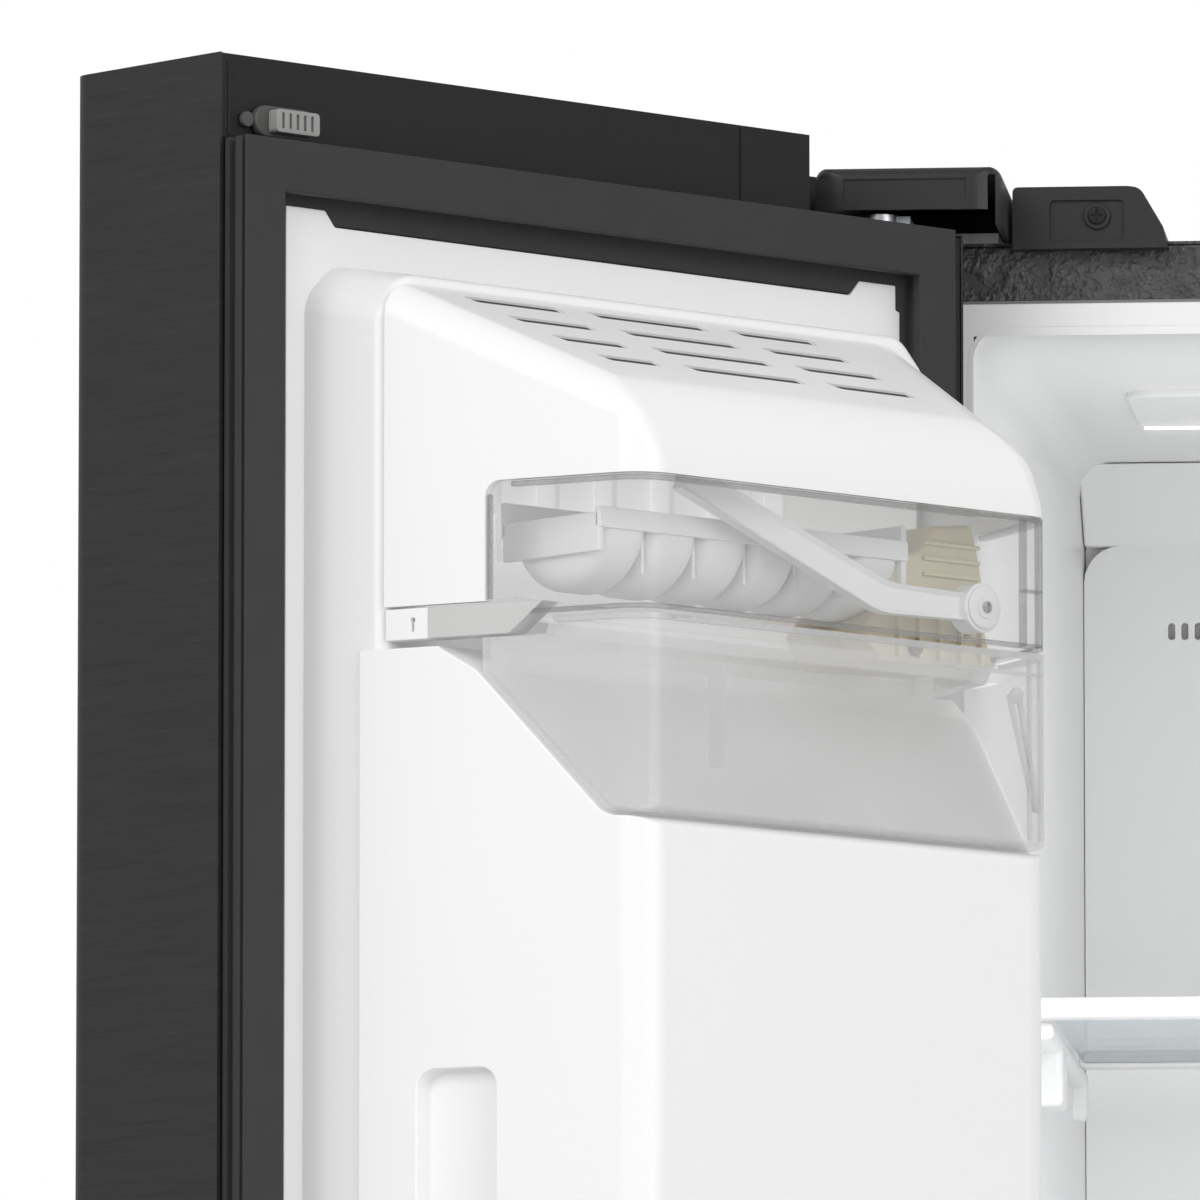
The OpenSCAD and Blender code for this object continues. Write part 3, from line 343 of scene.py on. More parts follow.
def lamp_glow(look):
    made = Finish("lamp_diffuser", emission_strength=2.0)
    grain = made.noise(0.002, 2.0)
    made.colour(made.blend(grain, (0.95, 0.95, 0.93), (1, 1, 1)))
    made.feed(made.shader.inputs["Emission Color"], made.blend(grain, (0.95, 0.97, 1.0), (1, 1, 1)))
    made.rough(0.3 + grain * 0.2)
    return made.material


def fin_aluminium(look):
    made = Finish("fin_aluminium", metallic=1.0)
    rolled = made.noise(0.002, 3.0, 0.6, (1, 1, 0.08))
    made.colour(made.blend(rolled, (0.6, 0.61, 0.63), (0.8, 0.81, 0.83)))
    made.rough(0.28 + rolled * 0.25)
    made.bump(rolled, 0.15, 0.0002)
    return made.material


def stove_enamel(look):
    made = Finish("black_stove_enamel", coat_weight=0.3, coat_roughness=0.2)
    drip = made.noise(0.03, 2.0)
    dust = made.noise(0.006, 4.0, 0.65)
    made.colour(made.blend(dust, (0.018, 0.018, 0.02), (0.05, 0.05, 0.052)))
    made.rough(0.35 + dust * 0.25)
    made.bump(drip, 0.12, 0.0008)
    return made.material


FINISHES = {}


def make_finishes(look):
    FINISHES.update({
        "dark_steel": brushed_steel(look),
        "black_metal": textured_enamel(look),
        "dark_plastic": satin_plastic("dark_satin_plastic", look.plastic, 0.0011, 0.4, 0.1),
        "white_plastic": gloss_white(look),
        "clear_plastic": clear_plastic("clear_moulding", (0.84, 0.845, 0.85), 0.08, 0.35),
        "brown_bits": satin_plastic("brown_bits", (0.1, 0.055, 0.025), 0.001, 0.4, 0.1),
        # painted glow: white moulding with emission 0.25 that brightens the shaded pieces inside the hood
        "painted_glow_white": gloss_white(look, "white_with_painted_glow", 0.25),
        "cover_plastic": satin_plastic("cover_plastic", (0.024, 0.024, 0.024), 0.0012, 0.34, 0.1),
        "frosted_clear": clear_plastic("frosted_clear", (0.9, 0.9, 0.9), 0.24, 0.3),
        "bumper_pad": satin_plastic("bumper_pad", (0.3, 0.3, 0.295), 0.001, 0.5, 0.1),
        "bumper_base": satin_plastic("bumper_base", (0.085, 0.085, 0.083), 0.001, 0.4, 0.1),
        "rail_plastic": satin_plastic("rail_plastic", (0.56, 0.56, 0.555), 0.001, 0.4, 0.06),
        # vent_shade is near black for the plugs behind the hood's slots: painted shade inside the slots
        "vent_shade": satin_plastic("vent_shade", (0.05, 0.05, 0.05), 0.002, 0.7, 0.1),
        "clear_ribs": clear_plastic("clear_thick_ribs", (0.74, 0.745, 0.75), 0.42, 0.5),
        "clear_dark_ribs": clear_plastic("clear_shaded_ribs", (0.3, 0.3, 0.305), 0.34, 0.5),
        "shelf_glass": clear_plastic("toughened_glass", (0.6, 0.72, 0.75), 0.16, 0.6),
        "seal_rubber": seal_rubber(look),
        "grey_plastic": satin_plastic("grey_satin_plastic", look.grey, 0.0014, 0.38, 0.1),
        "beige_plastic": cream_plastic(look),
        "zinc_steel": zinc_steel(look),
        "black_enamel": stove_enamel(look),
        "cooling_metal": fin_aluminium(look),
        "foam": foam(look),
        "lamp_diffuser": lamp_glow(look),
        "roller_plastic": satin_plastic("hard_grey_nylon", (0.16, 0.16, 0.17), 0.002, 0.5, 0.15),
    })


# ---- modelling ----

def prism(outline, way):
    """A closed solid: a flat outline of 3-D points pulled along a vector."""
    bm = bmesh.new()
    face = bm.faces.new([bm.verts.new(point) for point in outline])
    pulled = bmesh.ops.extrude_face_region(bm, geom=[face])["geom"]
    bmesh.ops.translate(bm, verts=[v for v in pulled if isinstance(v, bmesh.types.BMVert)], vec=way)
    bmesh.ops.recalc_face_normals(bm, faces=bm.faces)
    return bm


def slab(x, y, z):
    return prism([(x[0], y[0], z[0]), (x[1], y[0], z[0]), (x[1], y[1], z[0]), (x[0], y[1], z[0])],
                 (0, 0, z[1] - z[0]))


def profile_x(points, low, high):
    """A prism of [y, z] points whose two ends lie at x = low(y) and x = high(y)."""
    bm = prism([(0, y, z) for y, z in points], (1, 0, 0))
    for v in bm.verts:
        v.co.x = low(v.co.y) if v.co.x < 0.5 else high(v.co.y)
    bmesh.ops.recalc_face_normals(bm, faces=bm.faces)
    return bm


def rod(start, end, radius, sides=32, radius_end=None):
    """A round bar between two points."""
    start, end = Vector(start), Vector(end)
    way = end - start
    place = Matrix.Translation((start + end) / 2) @ way.to_track_quat("Z", "Y").to_matrix().to_4x4()
    bm = bmesh.new()
    bmesh.ops.create_cone(bm, cap_ends=True, segments=sides, radius1=radius,
                          radius2=radius if radius_end is None else radius_end,
                          depth=way.length, matrix=place)
    return bm


def joined(*shapes):
    bm = bmesh.new()
    for shape in shapes:
        spare = bpy.data.meshes.new("spare")
        shape.to_mesh(spare)
        shape.free()
        bm.from_mesh(spare)
        bpy.data.meshes.remove(spare)
    return bm


def soften(bm, test, radius):
    """Marks the edges that a later bevel rounds: radius in millimetres."""
    layer = bm.edges.layers.float.get("bevel_weight_edge") or bm.edges.layers.float.new("bevel_weight_edge")
    for edge in bm.edges:
        a, b = edge.verts[0].co, edge.verts[1].co
        if test((a + b) / 2, b - a):
            edge[layer] = radius / 1000 / BEVEL_BASE
    return bm


def drop_faces(bm, test):
    gone = [f for f in bm.faces if test(f.calc_center_median(), f.normal)]
    bmesh.ops.delete(bm, geom=gone, context="FACES")
    return bm


def raw(name, bm, place):
    """A bare object whose place is in its mesh."""
    bmesh.ops.transform(bm, matrix=place, verts=bm.verts)
    bmesh.ops.recalc_face_normals(bm, faces=bm.faces)
    mesh = bpy.data.meshes.new(name)
    bm.to_mesh(mesh)
    bm.free()
    made = bpy.data.objects.new(name, mesh)
    bpy.context.scene.collection.objects.link(made)
    return made


def applied(made, kind, **settings):
    """Adds one modifier and keeps its result as the mesh."""
    modifier = made.modifiers.new(kind.lower(), kind)
    for key, value in settings.items():
        setattr(modifier, key, value)
    bpy.context.view_layer.update()
    result = bpy.data.meshes.new_from_object(made.evaluated_get(bpy.context.evaluated_depsgraph_get()))
    made.modifiers.clear()
    old = made.data
    made.data = result
    bpy.data.meshes.remove(old)
    result.name = made.name
    return made


def rounded(made, segments=4):
    return applied(made, "BEVEL", limit_method="WEIGHT", width=BEVEL_BASE, segments=segments,
                   offset_type="OFFSET", use_clamp_overlap=True)


def broken_edges(made, radius, segments=2, angle=32):
    """A small even round on every edge that is still sharp."""
    return applied(made, "BEVEL", limit_method="ANGLE", angle_limit=radians(angle), width=radius / 1000,
                   segments=segments, use_clamp_overlap=True, miter_outer="MITER_ARC")


def cut(made, *cutters):
    for cutter in cutters:
        applied(made, "BOOLEAN", operation="DIFFERENCE", object=cutter, solver="EXACT")
        mesh = cutter.data
        bpy.data.objects.remove(cutter)
        bpy.data.meshes.remove(mesh)
    return made


def thick(made, wall):
    return applied(made, "SOLIDIFY", thickness=wall / 1000, offset=-1, use_even_offset=True)


def done(made, body, slot, *replaced, finish=None, sharp=34):
    """Shading, finish, body and slot of a finished piece."""
    bm = bmesh.new()
    bm.from_mesh(made.data)
    bmesh.ops.remove_doubles(bm, verts=bm.verts, dist=0.000001)
    for face in bm.faces:
        face.smooth = True
    for edge in bm.edges:
        edge.smooth = not (edge.is_manifold and edge.calc_face_angle(0) > radians(sharp))
    bm.to_mesh(made.data)
    bm.free()
    applied(made, "WEIGHTED_NORMAL", keep_sharp=True, weight=60)
    made.data.materials.clear()
    made.data.materials.append(finish or FINISHES[slot])
    if replaced:
        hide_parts(*replaced)
    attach(made, body)
    return made


# ---- sizes and colours that a user changes ----

class FridgeLook(PropertyGroup):
    """Colours of the finishes."""
    steel: FloatVectorProperty(name="Steel", description="Colour of the brushed door steel",
                               default=(0.045, 0.045, 0.047), size=3, subtype="COLOR", min=0, max=1)
    enamel: FloatVectorProperty(name="Enamel", description="Colour of the painted cabinet",
                                default=(0.052, 0.052, 0.053), size=3, subtype="COLOR", min=0, max=1)
    plastic: FloatVectorProperty(name="Dark plastic", description="Colour of caps and covers",
                                 default=(0.0095, 0.0095, 0.0095), size=3, subtype="COLOR", min=0, max=1)
    seal: FloatVectorProperty(name="Seal", description="Colour of the door seals",
                              default=(0.036, 0.036, 0.037), size=3, subtype="COLOR", min=0, max=1)
    white: FloatVectorProperty(name="White", description="Colour of the liners",
                               default=(0.9, 0.9, 0.9), size=3, subtype="COLOR", min=0, max=1)
    grey: FloatVectorProperty(name="Grey", description="Colour of rails and bumpers",
                              default=(0.2, 0.2, 0.198), size=3, subtype="COLOR", min=0, max=1)
    cream: FloatVectorProperty(name="Cream", description="Colour of the ice maker's drive",
                               default=(0.86, 0.78, 0.57), size=3, subtype="COLOR", min=0, max=1)
    zinc: FloatVectorProperty(name="Zinc", description="Colour of plated steel",
                              default=(0.55, 0.56, 0.58), size=3, subtype="COLOR", min=0, max=1)


class FridgeSizes(PropertyGroup):
    """Details that the frame leaves open."""
    hood_round: FloatProperty(name="Hood round", description="Radius over the hood's front edge",
                              default=0.024, unit="LENGTH", min=0.004, max=0.036)
    corner_round: FloatProperty(name="Corner round", description="Radius of the hood's upright corner",
                                default=0.012, unit="LENGTH", min=0.004, max=0.02)
    vent_rows: IntProperty(name="Vent rows", description="Rows of slots in the hood", default=4, min=1, max=5)
    vent_width: FloatProperty(name="Vent width", description="Width of one slot", default=0.0064,
                              unit="LENGTH", min=0.003, max=0.008)
    room_round: FloatProperty(name="Room round", description="Radius of the compartments' inner edges",
                              default=0.014, unit="LENGTH", min=0.004, max=0.03)
    tray_cells: IntProperty(name="Tray cells", description="Ice moulds along the tray",
                            default=6, min=4, max=8)


def sizes():
    return bpy.context.scene.fridge_sizes


# ---- the freezer door's liner and ice maker ----

def free_side(y):
    """The housing's side that swings past the post."""
    return 346 - 0.349 * (y - BORDER)


def hinge_side(y):
    return 58 + 0.358 * (y - BORDER)


def border_ring(w, chamfer=14):
    """The raised border of a door liner, drafted all round."""
    base_x, base_z = (50, w - 40), (SEAL_FOOT + 26, SEAL_TOP - 44)
    lean = Vector((8, 0, 7))
    outline = []
    for x, z, dx, dz in ((base_x[0], base_z[0], 1, 1), (base_x[1], base_z[0], -1, 1),
                         (base_x[1], base_z[1], -1, -1), (base_x[0], base_z[1], 1, -1)):
        ends = [(x + dx * chamfer, 0, z), (x, 0, z + dz * chamfer)]
        outline += ends if (dx > 0) == (dz < 0) else ends[::-1]
    bm = prism(outline, (0, BORDER, 0))
    middle = Vector(((base_x[0] + base_x[1]) / 2, 0, (base_z[0] + base_z[1]) / 2))
    half = Vector(((base_x[1] - base_x[0]) / 2, 1, (base_z[1] - base_z[0]) / 2))
    for v in bm.verts:
        if v.co.y > 1:
            v.co.x = middle.x + (v.co.x - middle.x) * (half.x - lean.x) / half.x
            v.co.z = middle.z + (v.co.z - middle.z) * (half.z - lean.z) / half.z
    soften(bm, lambda at, way: at.y > BORDER - 1, 5)
    soften(bm, lambda at, way: 1 < at.y < BORDER - 1, 6)
    return bm


def flange_plate(w):
    """The flat flange, with a small tab at each top and bottom corner."""
    x = (31, w - 31.3)
    z = (SEAL_FOOT + 20, SEAL_TOP - 29.5)
    tab = 6.1
    outline = [(x[0], 0, z[0]), (x[1], 0, z[0]), (x[1], 0, z[1] + tab), (x[1] - 20, 0, z[1] + tab),
               (x[1] - 25, 0, z[1]), (x[0] + 34, 0, z[1]), (x[0] + 29, 0, z[1] + tab),
               (x[0] + 9, 0, z[1] + tab), (x[0] + 9, 0, z[1] - 4), (x[0], 0, z[1] - 4)]
    return prism(outline, (0, 3, 0))


def bin_bosses(inner, heights):
    rods = []
    for z in heights:
        rods.append(rod((inner[0] - 1, 26, z + 34), (inner[0] + 6, 26, z + 34), 4, 24))
        rods.append(rod((inner[1] - 6, 26, z + 34), (inner[1] + 1, 26, z + 34), 4, 24))
    return rods


def tower():
    """The solid lower part of the ice housing, stepped under the bucket."""
    top = BUCKET_FLOOR - 0.8
    points = [(30, TOWER_FOOT), (TOWER_D, TOWER_FOOT), (TOWER_D, top), (130, top),
              (78, top + 58), (62, COVER_Z - 15.5), (30, COVER_Z - 15.5)]
    bm = profile_x(points, hinge_side, free_side)
    soften(bm, lambda at, way: at.y > TOWER_D - 1 and abs(way.z) > 50, 12)
    soften(bm, lambda at, way: abs(way.x) > 50 and at.z > top - 1 and at.y > 100, 5)
    soften(bm, lambda at, way: abs(way.x) > 50 and at.z < TOWER_FOOT + 1 and at.y > 100, 14)
    return bm


class FRIDGE_OT_freezer_moulding(Operator):
    """White liner of the freezer door with the ice maker's tower"""
    bl_idname = "fridge.freezer_moulding"
    bl_label = "Freezer door moulding"

    def execute(self, context):
        place = door_place("freezer_door_swing")
        made = rounded(raw("freezer_door_moulding", joined(border_ring(394), tower()), place), 5)
        made = cut(made, raw("cutter", slab((79, 325), (0.6, 60), (160, 856)), place))
        recess = soften(prism([(305, 54, 1180), (305, 86, 1180), (305, 86, 1400), (305, 54, 1400)],
                              (60, 0, 0)),
                        lambda at, way: abs(way.x) > 30, 7)
        for v in recess.verts:
            if v.co.x < 320:
                v.co.x = free_side(v.co.y) - 7
        made = cut(made, rounded(raw("cutter", recess, place), 4))
        made = broken_edges(made, 0.8, 2, 40)
        flange = broken_edges(raw("flange", joined(flange_plate(394), *bin_bosses((80, 324), (170, 490))),
                                  place),
                              0.7, 2)
        merge(made, flange)
        done(made, "freezer_door", "white_plastic", "freezer_door_liner")
        return {"FINISHED"}


def merge(made, *others):
    """Adds the meshes of other bare objects to this one."""
    bm = bmesh.new()
    bm.from_mesh(made.data)
    for other in others:
        bm.from_mesh(other.data)
        mesh = other.data
        bpy.data.objects.remove(other)
        bpy.data.meshes.remove(mesh)
    bm.to_mesh(made.data)
    bm.free()
    return made


def hood_solid(back, foot, grow=0.0):
    """The hood's outline: sloped top, drafted sides."""
    front = SLOPE_TOP - SLOPE * (TOWER_D - BORDER)
    top = SLOPE_TOP - SLOPE * (back - BORDER)
    bm = profile_x([(back, foot), (TOWER_D, foot), (TOWER_D, front), (back, top)], hinge_side, free_side)
    size = sizes()
    soften(bm, lambda at, way: at.y > TOWER_D - 1 and abs(way.z) > 20 and at.x > 200,
           size.corner_round * 1000)
    soften(bm, lambda at, way: at.y > TOWER_D - 1 and abs(way.z) > 20 and at.x < 200, 8)
    soften(bm, lambda at, way: at.y > TOWER_D - 1 and abs(way.x) > 50 and at.z > 1600, size.hood_round * 1000)
    soften(bm, lambda at, way: abs(way.y) > 20 and at.z > 1600 and at.x > 200, size.corner_round * 1000)
    soften(bm, lambda at, way: abs(way.y) > 20 and at.z > 1600 and at.x < 200, 28)
    return bm


def vent_outline(low, high, half, foot, height):
    """A slot of the hood: a flat bar with one slanted end."""
    return prism([(low, -half, foot), (high + 1.8, -half, foot), (high - 1.8, half, foot), (low, half, foot)],
                 (0, 0, height))


class FRIDGE_OT_hood(Operator):
    """White hood of the ice maker, with its sloped vents and the window for the cover"""
    bl_idname = "fridge.hood"
    bl_label = "Ice maker hood"

    def execute(self, context):
        place = door_place("freezer_door_swing")
        made = rounded(raw("ice_maker_hood", hood_solid(BORDER + 0.4, COVER_Z + 0.3), place), 6)
        hollow = hood_solid(BORDER - 20, COVER_Z - 20)
        bmesh.ops.translate(hollow, verts=hollow.verts, vec=(0, -2.6, -2.9))
        for v in hollow.verts:
            v.co.x += 2.6 if v.co.x < 200 else -2.6
        cutters = [rounded(raw("cutter", hollow, place), 6)]
        window = prism([(0, COVER_BACK, COVER_Z - 20), (0, COVER_BACK, COVER_TOP + 0.2),
                        (0, 260, COVER_TOP + 0.2), (0, 260, COVER_Z - 20)], (420, 0, 0))
        soften(window, lambda at, way: abs(way.x) > 50 and at.y < 100 and at.z > COVER_TOP, 6)
        cutters.append(rounded(raw("cutter", window, place), 4))
        made = cut(made, *cutters)
        half = sizes().vent_width * 500
        painted_shade_plugs = []
        for row in range(sizes().vent_rows):
            y = BORDER + 10.2 + 18.2 * row
            lean = (Matrix.Translation((0, y, SLOPE_TOP - SLOPE * (y - BORDER)))
                    @ Matrix.Rotation(-atan2(SLOPE, 1), 4, "X"))
            for low, high in ((129.5, 171.5), (188, 247), (263.5, free_side(y) - 31.5)):
                vent = soften(vent_outline(low, high, half, -9, 18), lambda at, way: abs(way.z) > 9, 1.2)
                made = cut(made, rounded(raw("cutter", vent, place @ lean), 2))
                # Behind each slot sits a dark plug, so a thin dark line shows in the slot: painted shade where the
                # slot's inside lies in shadow.
                painted_shade_plugs.append(raw("painted_shade_plug", vent_outline(low + 0.2, high - 0.2, half - 0.2, -2.3, 1.4),
                                  place @ lean))
        broken_edges(made, 0.45, 2, 40)
        done(made, "freezer_door", "white_plastic", "ice_housing")
        painted_shade_plugs[0].name = "hood_vent_painted_shade_plugs"
        done(merge(painted_shade_plugs[0], *painted_shade_plugs[1:]), "freezer_door", "grey_plastic", finish=FINISHES["vent_shade"])
        low, high = BORDER + 3, TOWER_D - 36
        drop = [SLOPE_TOP - SLOPE * (y - BORDER) - 6.5 for y in (low, high)]
        lining = prism([(110, low, drop[0]), (110, low, drop[0] - 1.2), (110, high, drop[1] - 1.2),
                        (110, high, drop[1])], (190, 0, 0))
        # The lining takes the painted glow white: its emission stands in for light in the hood's shaded inside.
        done(broken_edges(raw("hood_lining", lining, place), 0.3), "freezer_door", "white_plastic",
             finish=FINISHES["painted_glow_white"])
        return {"FINISHED"}


def clear_ring(z, y_back, wall):
    """A clear wall round three sides, between two heights."""
    bm = profile_x([(y_back, z[0]), (TOWER_D, z[0]), (TOWER_D, z[1]), (y_back, z[1])],
                   lambda y: hinge_side(y) + 0.2, lambda y: free_side(y) - 0.2)
    soften(bm, lambda at, way: at.y > TOWER_D - 1 and abs(way.z) > 1 and at.x > 200, 12)
    soften(bm, lambda at, way: at.y > TOWER_D - 1 and abs(way.z) > 1 and at.x < 200, 7)
    return bm


def shell_of(name, bm, place, wall, *open_towards):
    """A thin shell of a rounded solid, open on the named sides."""
    made = rounded(raw(name, bm, place), 5)
    turned = [(place.to_3x3() @ Vector(way)).normalized() for way in open_towards]
    edit = bmesh.new()
    edit.from_mesh(made.data)
    edit.faces.ensure_lookup_table()
    gone = [f for f in edit.faces if any(f.normal.dot(way) > 0.985 for way in turned)]
    bmesh.ops.delete(edit, geom=gone, context="FACES")
    edit.to_mesh(made.data)
    edit.free()
    return thick(made, wall)


class FRIDGE_OT_cover(Operator):
    """Clear wrap-round cover of the ice maker"""
    bl_idname = "fridge.cover"
    bl_label = "Clear cover"

    def execute(self, context):
        place = door_place("freezer_door_swing")
        foot = COVER_Z - 5.5
        bm = profile_x([(COVER_BACK + 0.5, COVER_Z + 0.4), (90, COVER_Z + 0.4), (93, foot), (TOWER_D, foot),
                        (TOWER_D, COVER_TOP - 0.2), (COVER_BACK + 0.5, COVER_TOP - 0.2)],
                       lambda y: hinge_side(y) + 0.2, lambda y: free_side(y) - 0.2)
        soften(bm, lambda at, way: at.y > TOWER_D - 1 and abs(way.z) > 20 and at.x > 200, 12)
        soften(bm, lambda at, way: at.y > TOWER_D - 1 and abs(way.z) > 20 and at.x < 200, 7)
        made = shell_of("ice_maker_cover", bm, place, 1.8, (0, -1, 0), (0, 0, -1), (0, 0, 1))
        rims = []
        for low, high in ((foot + 0.3, foot + 1.9), (COVER_TOP - 2.4, COVER_TOP - 0.6)):
            ring = clear_ring((low, high), 92, 3)
            rims.append(shell_of("rim", ring, place, 3.4, (0, -1, 0), (0, 0, 1), (0, 0, -1)))
        done(made, "freezer_door", "clear_plastic", "ice_cover")
        posts = [slab((x, x + 1.5), (TOWER_D - 4.5, TOWER_D - 1), (foot + 1, COVER_TOP - 1))
                 for x in (98, 106.5)]
        posts.append(slab((98, 108), (TOWER_D - 4.5, TOWER_D - 1), (foot + 22, foot + 23.2)))
        back = free_side(COVER_BACK + 1)
        posts.append(slab((back - 2.2, back - 0.2), (COVER_BACK + 0.6, COVER_BACK + 2.2),
                          (COVER_Z + 1, COVER_TOP - 5)))
        ribs = merge(broken_edges(raw("ice_cover_rims", joined(*posts), place), 0.4), *rims)
        done(ribs, "freezer_door", "clear_plastic", finish=FINISHES["clear_dark_ribs"])
        return {"FINISHED"}


class FRIDGE_OT_bucket(Operator):
    """Clear ice bucket with its rim, end frame and slanted slot"""
    bl_idname = "fridge.bucket"
    bl_label = "Ice bucket"

    def execute(self, context):
        place = door_place("freezer_door_swing")
        rim = COVER_Z - 7
        floor = BUCKET_FLOOR + 0.4
        points = [(80.5, COVER_Z - 13.5), (80.5, floor + 56), (131.5, floor), (TOWER_D, floor),
                  (TOWER_D, rim), (108, rim), (106, COVER_Z - 13.5)]
        bm = profile_x(points, lambda y: hinge_side(y) + 0.3, lambda y: free_side(y) - 0.3)
        soften(bm, lambda at, way: at.y > TOWER_D - 1 and abs(way.z) > 20 and at.x > 200, 12)
        soften(bm, lambda at, way: at.y > TOWER_D - 1 and abs(way.z) > 20 and at.x < 200, 6)
        soften(bm, lambda at, way: at.z < floor + 1, 3)
        made = shell_of("clear_ice_bucket", bm, place, 1.8, (0, 0, 1))
        done(made, "bucket", "clear_plastic", "ice_bucket", finish=FINISHES["frosted_clear"])
        ring = clear_ring((rim - 2.2, rim - 0.2), 109, 3)
        rims = shell_of("rim", ring, place, 3.6, (0, -1, 0), (0, 0, 1), (0, 0, -1))
        face = TOWER_D - 0.6
        bars = [slab((x, x + 1.4), (face - 2, face), (floor + 3, rim - 3)) for x in (98.5, 104.5)]
        bars.append(slab((98.5, 146), (face - 2, face), (rim - 9, rim - 7.6)))
        for shift in (0, 5.2):
            bars.append(prism([(115 - shift, face - 2, rim - 17), (117 - shift, face - 2, rim - 17),
                               (103 - shift * 0.2, face - 2, floor + 14),
                               (101 - shift * 0.2, face - 2, floor + 14)],
                              (0, 2, 0)))
        bars.append(rod((112, face - 2, rim - 17), (112, face, rim - 17), 3.2, 20))
        bars.append(slab((262, 264), (133, 141), (floor + 20, rim - 16)))
        ribs = merge(broken_edges(raw("ice_bucket_ribs", joined(*bars), place), 0.35), rims)
        done(ribs, "bucket", "clear_plastic", finish=FINISHES["clear_ribs"])
        return {"FINISHED"}


class FRIDGE_OT_rail(Operator):
    """Rails that carry the bucket, with their white end blocks"""
    bl_idname = "fridge.rail"
    bl_label = "Bucket rails"

    def execute(self, context):
        place = door_place("freezer_door_swing")
        z = (COVER_Z - 12.6, COVER_Z - 0.6)
        for side, name in ((free_side, "free"), (hinge_side, "hinge")):
            inward = -1 if side is free_side else 1
            bar = prism([(side(58), 58, z[0]), (side(58) + 9 * inward, 58, z[0]),
                         (side(105) + 9 * inward, 105, z[0]), (side(105), 105, z[0])], (0, 0, z[1] - z[0]))
            for v in bar.verts:
                if v.co.y > 80 and v.co.z < z[0] + 1:
                    v.co.y -= 14
                    v.co.x = side(91) if abs(v.co.x - side(105)) < 1 else side(91) + 9 * inward
            made = broken_edges(raw("bucket_rail_" + name, bar, place), 0.6)
            done(made, "freezer_door", "grey_plastic", *(["bucket_rail"] if name == "free" else []),
                 finish=FINISHES["rail_plastic"])
            block = prism([(side(BORDER + 0.6) + 0.4 * inward, BORDER + 0.6, z[0]),
                           (side(BORDER + 0.6) + 9 * inward, BORDER + 0.6, z[0]),
                           (side(59) + 9 * inward, 59, z[0]), (side(59) + 0.2 * inward, 59, z[0])],
                          (0, 0, z[1] - z[0]))
            white = broken_edges(raw("rail_block_" + name, block, place), 0.5)
            pin_hole = rod((side(52) - 4, 52, z[0] + 7.4), (side(52) + 4, 52, z[0] + 7.4), 1.1, 16)
            slot = slab((side(52) - 4, side(52) + 4), (51.4, 52.6), (z[0] + 3, z[0] + 7.4))
            white = cut(white, raw("cutter", pin_hole, place), raw("cutter", slot, place))
            done(white, "freezer_door", "white_plastic")
        return {"FINISHED"}


class FRIDGE_OT_tray(Operator):
    """White ice tray: a row of curved moulds with a splash wall"""
    bl_idname = "fridge.tray"
    bl_label = "Ice tray"

    def execute(self, context):
        place = door_place("freezer_door_swing")
        y = (61, 115)
        top = COVER_Z + 33
        cells = sizes().tray_cells
        pitch = (302 - 143) / cells
        shapes = []
        for i in range(cells):
            low = 143 + i * pitch
            shapes.append(rod((low + 0.6, tray_y(), top), (low + pitch - 0.6, tray_y(), top), 27, 56))
        made = broken_edges(raw("ice_tray_white", joined(*shapes), place), 7, 4, 60)
        made = cut(made, raw("cutter", slab((100, 340), (40, 140), (top, top + 60)), place))
        backs = [slab((143 + i * pitch - 0.7, 143 + i * pitch + 0.7), (y[0] + 6, y[1] - 6), (top - 20, top))
                 for i in range(1, cells)]
        merge(made, raw("webs", joined(*backs), place))
        rim = [slab((142, 304), (y[0] - 1, y[0] + 2), (top - 5, top + 9)),
               slab((142, 304), (y[1] - 2, y[1] + 1), (top - 5, top + 3)),
               slab((142, 145), y, (top - 14, top + 9)), slab((301, 304), y, (top - 14, top + 1))]
        merge(made, broken_edges(raw("rim", joined(*rim), place), 0.7))
        done(made, "tray", "white_plastic", "ice_tray")
        return {"FINISHED"}


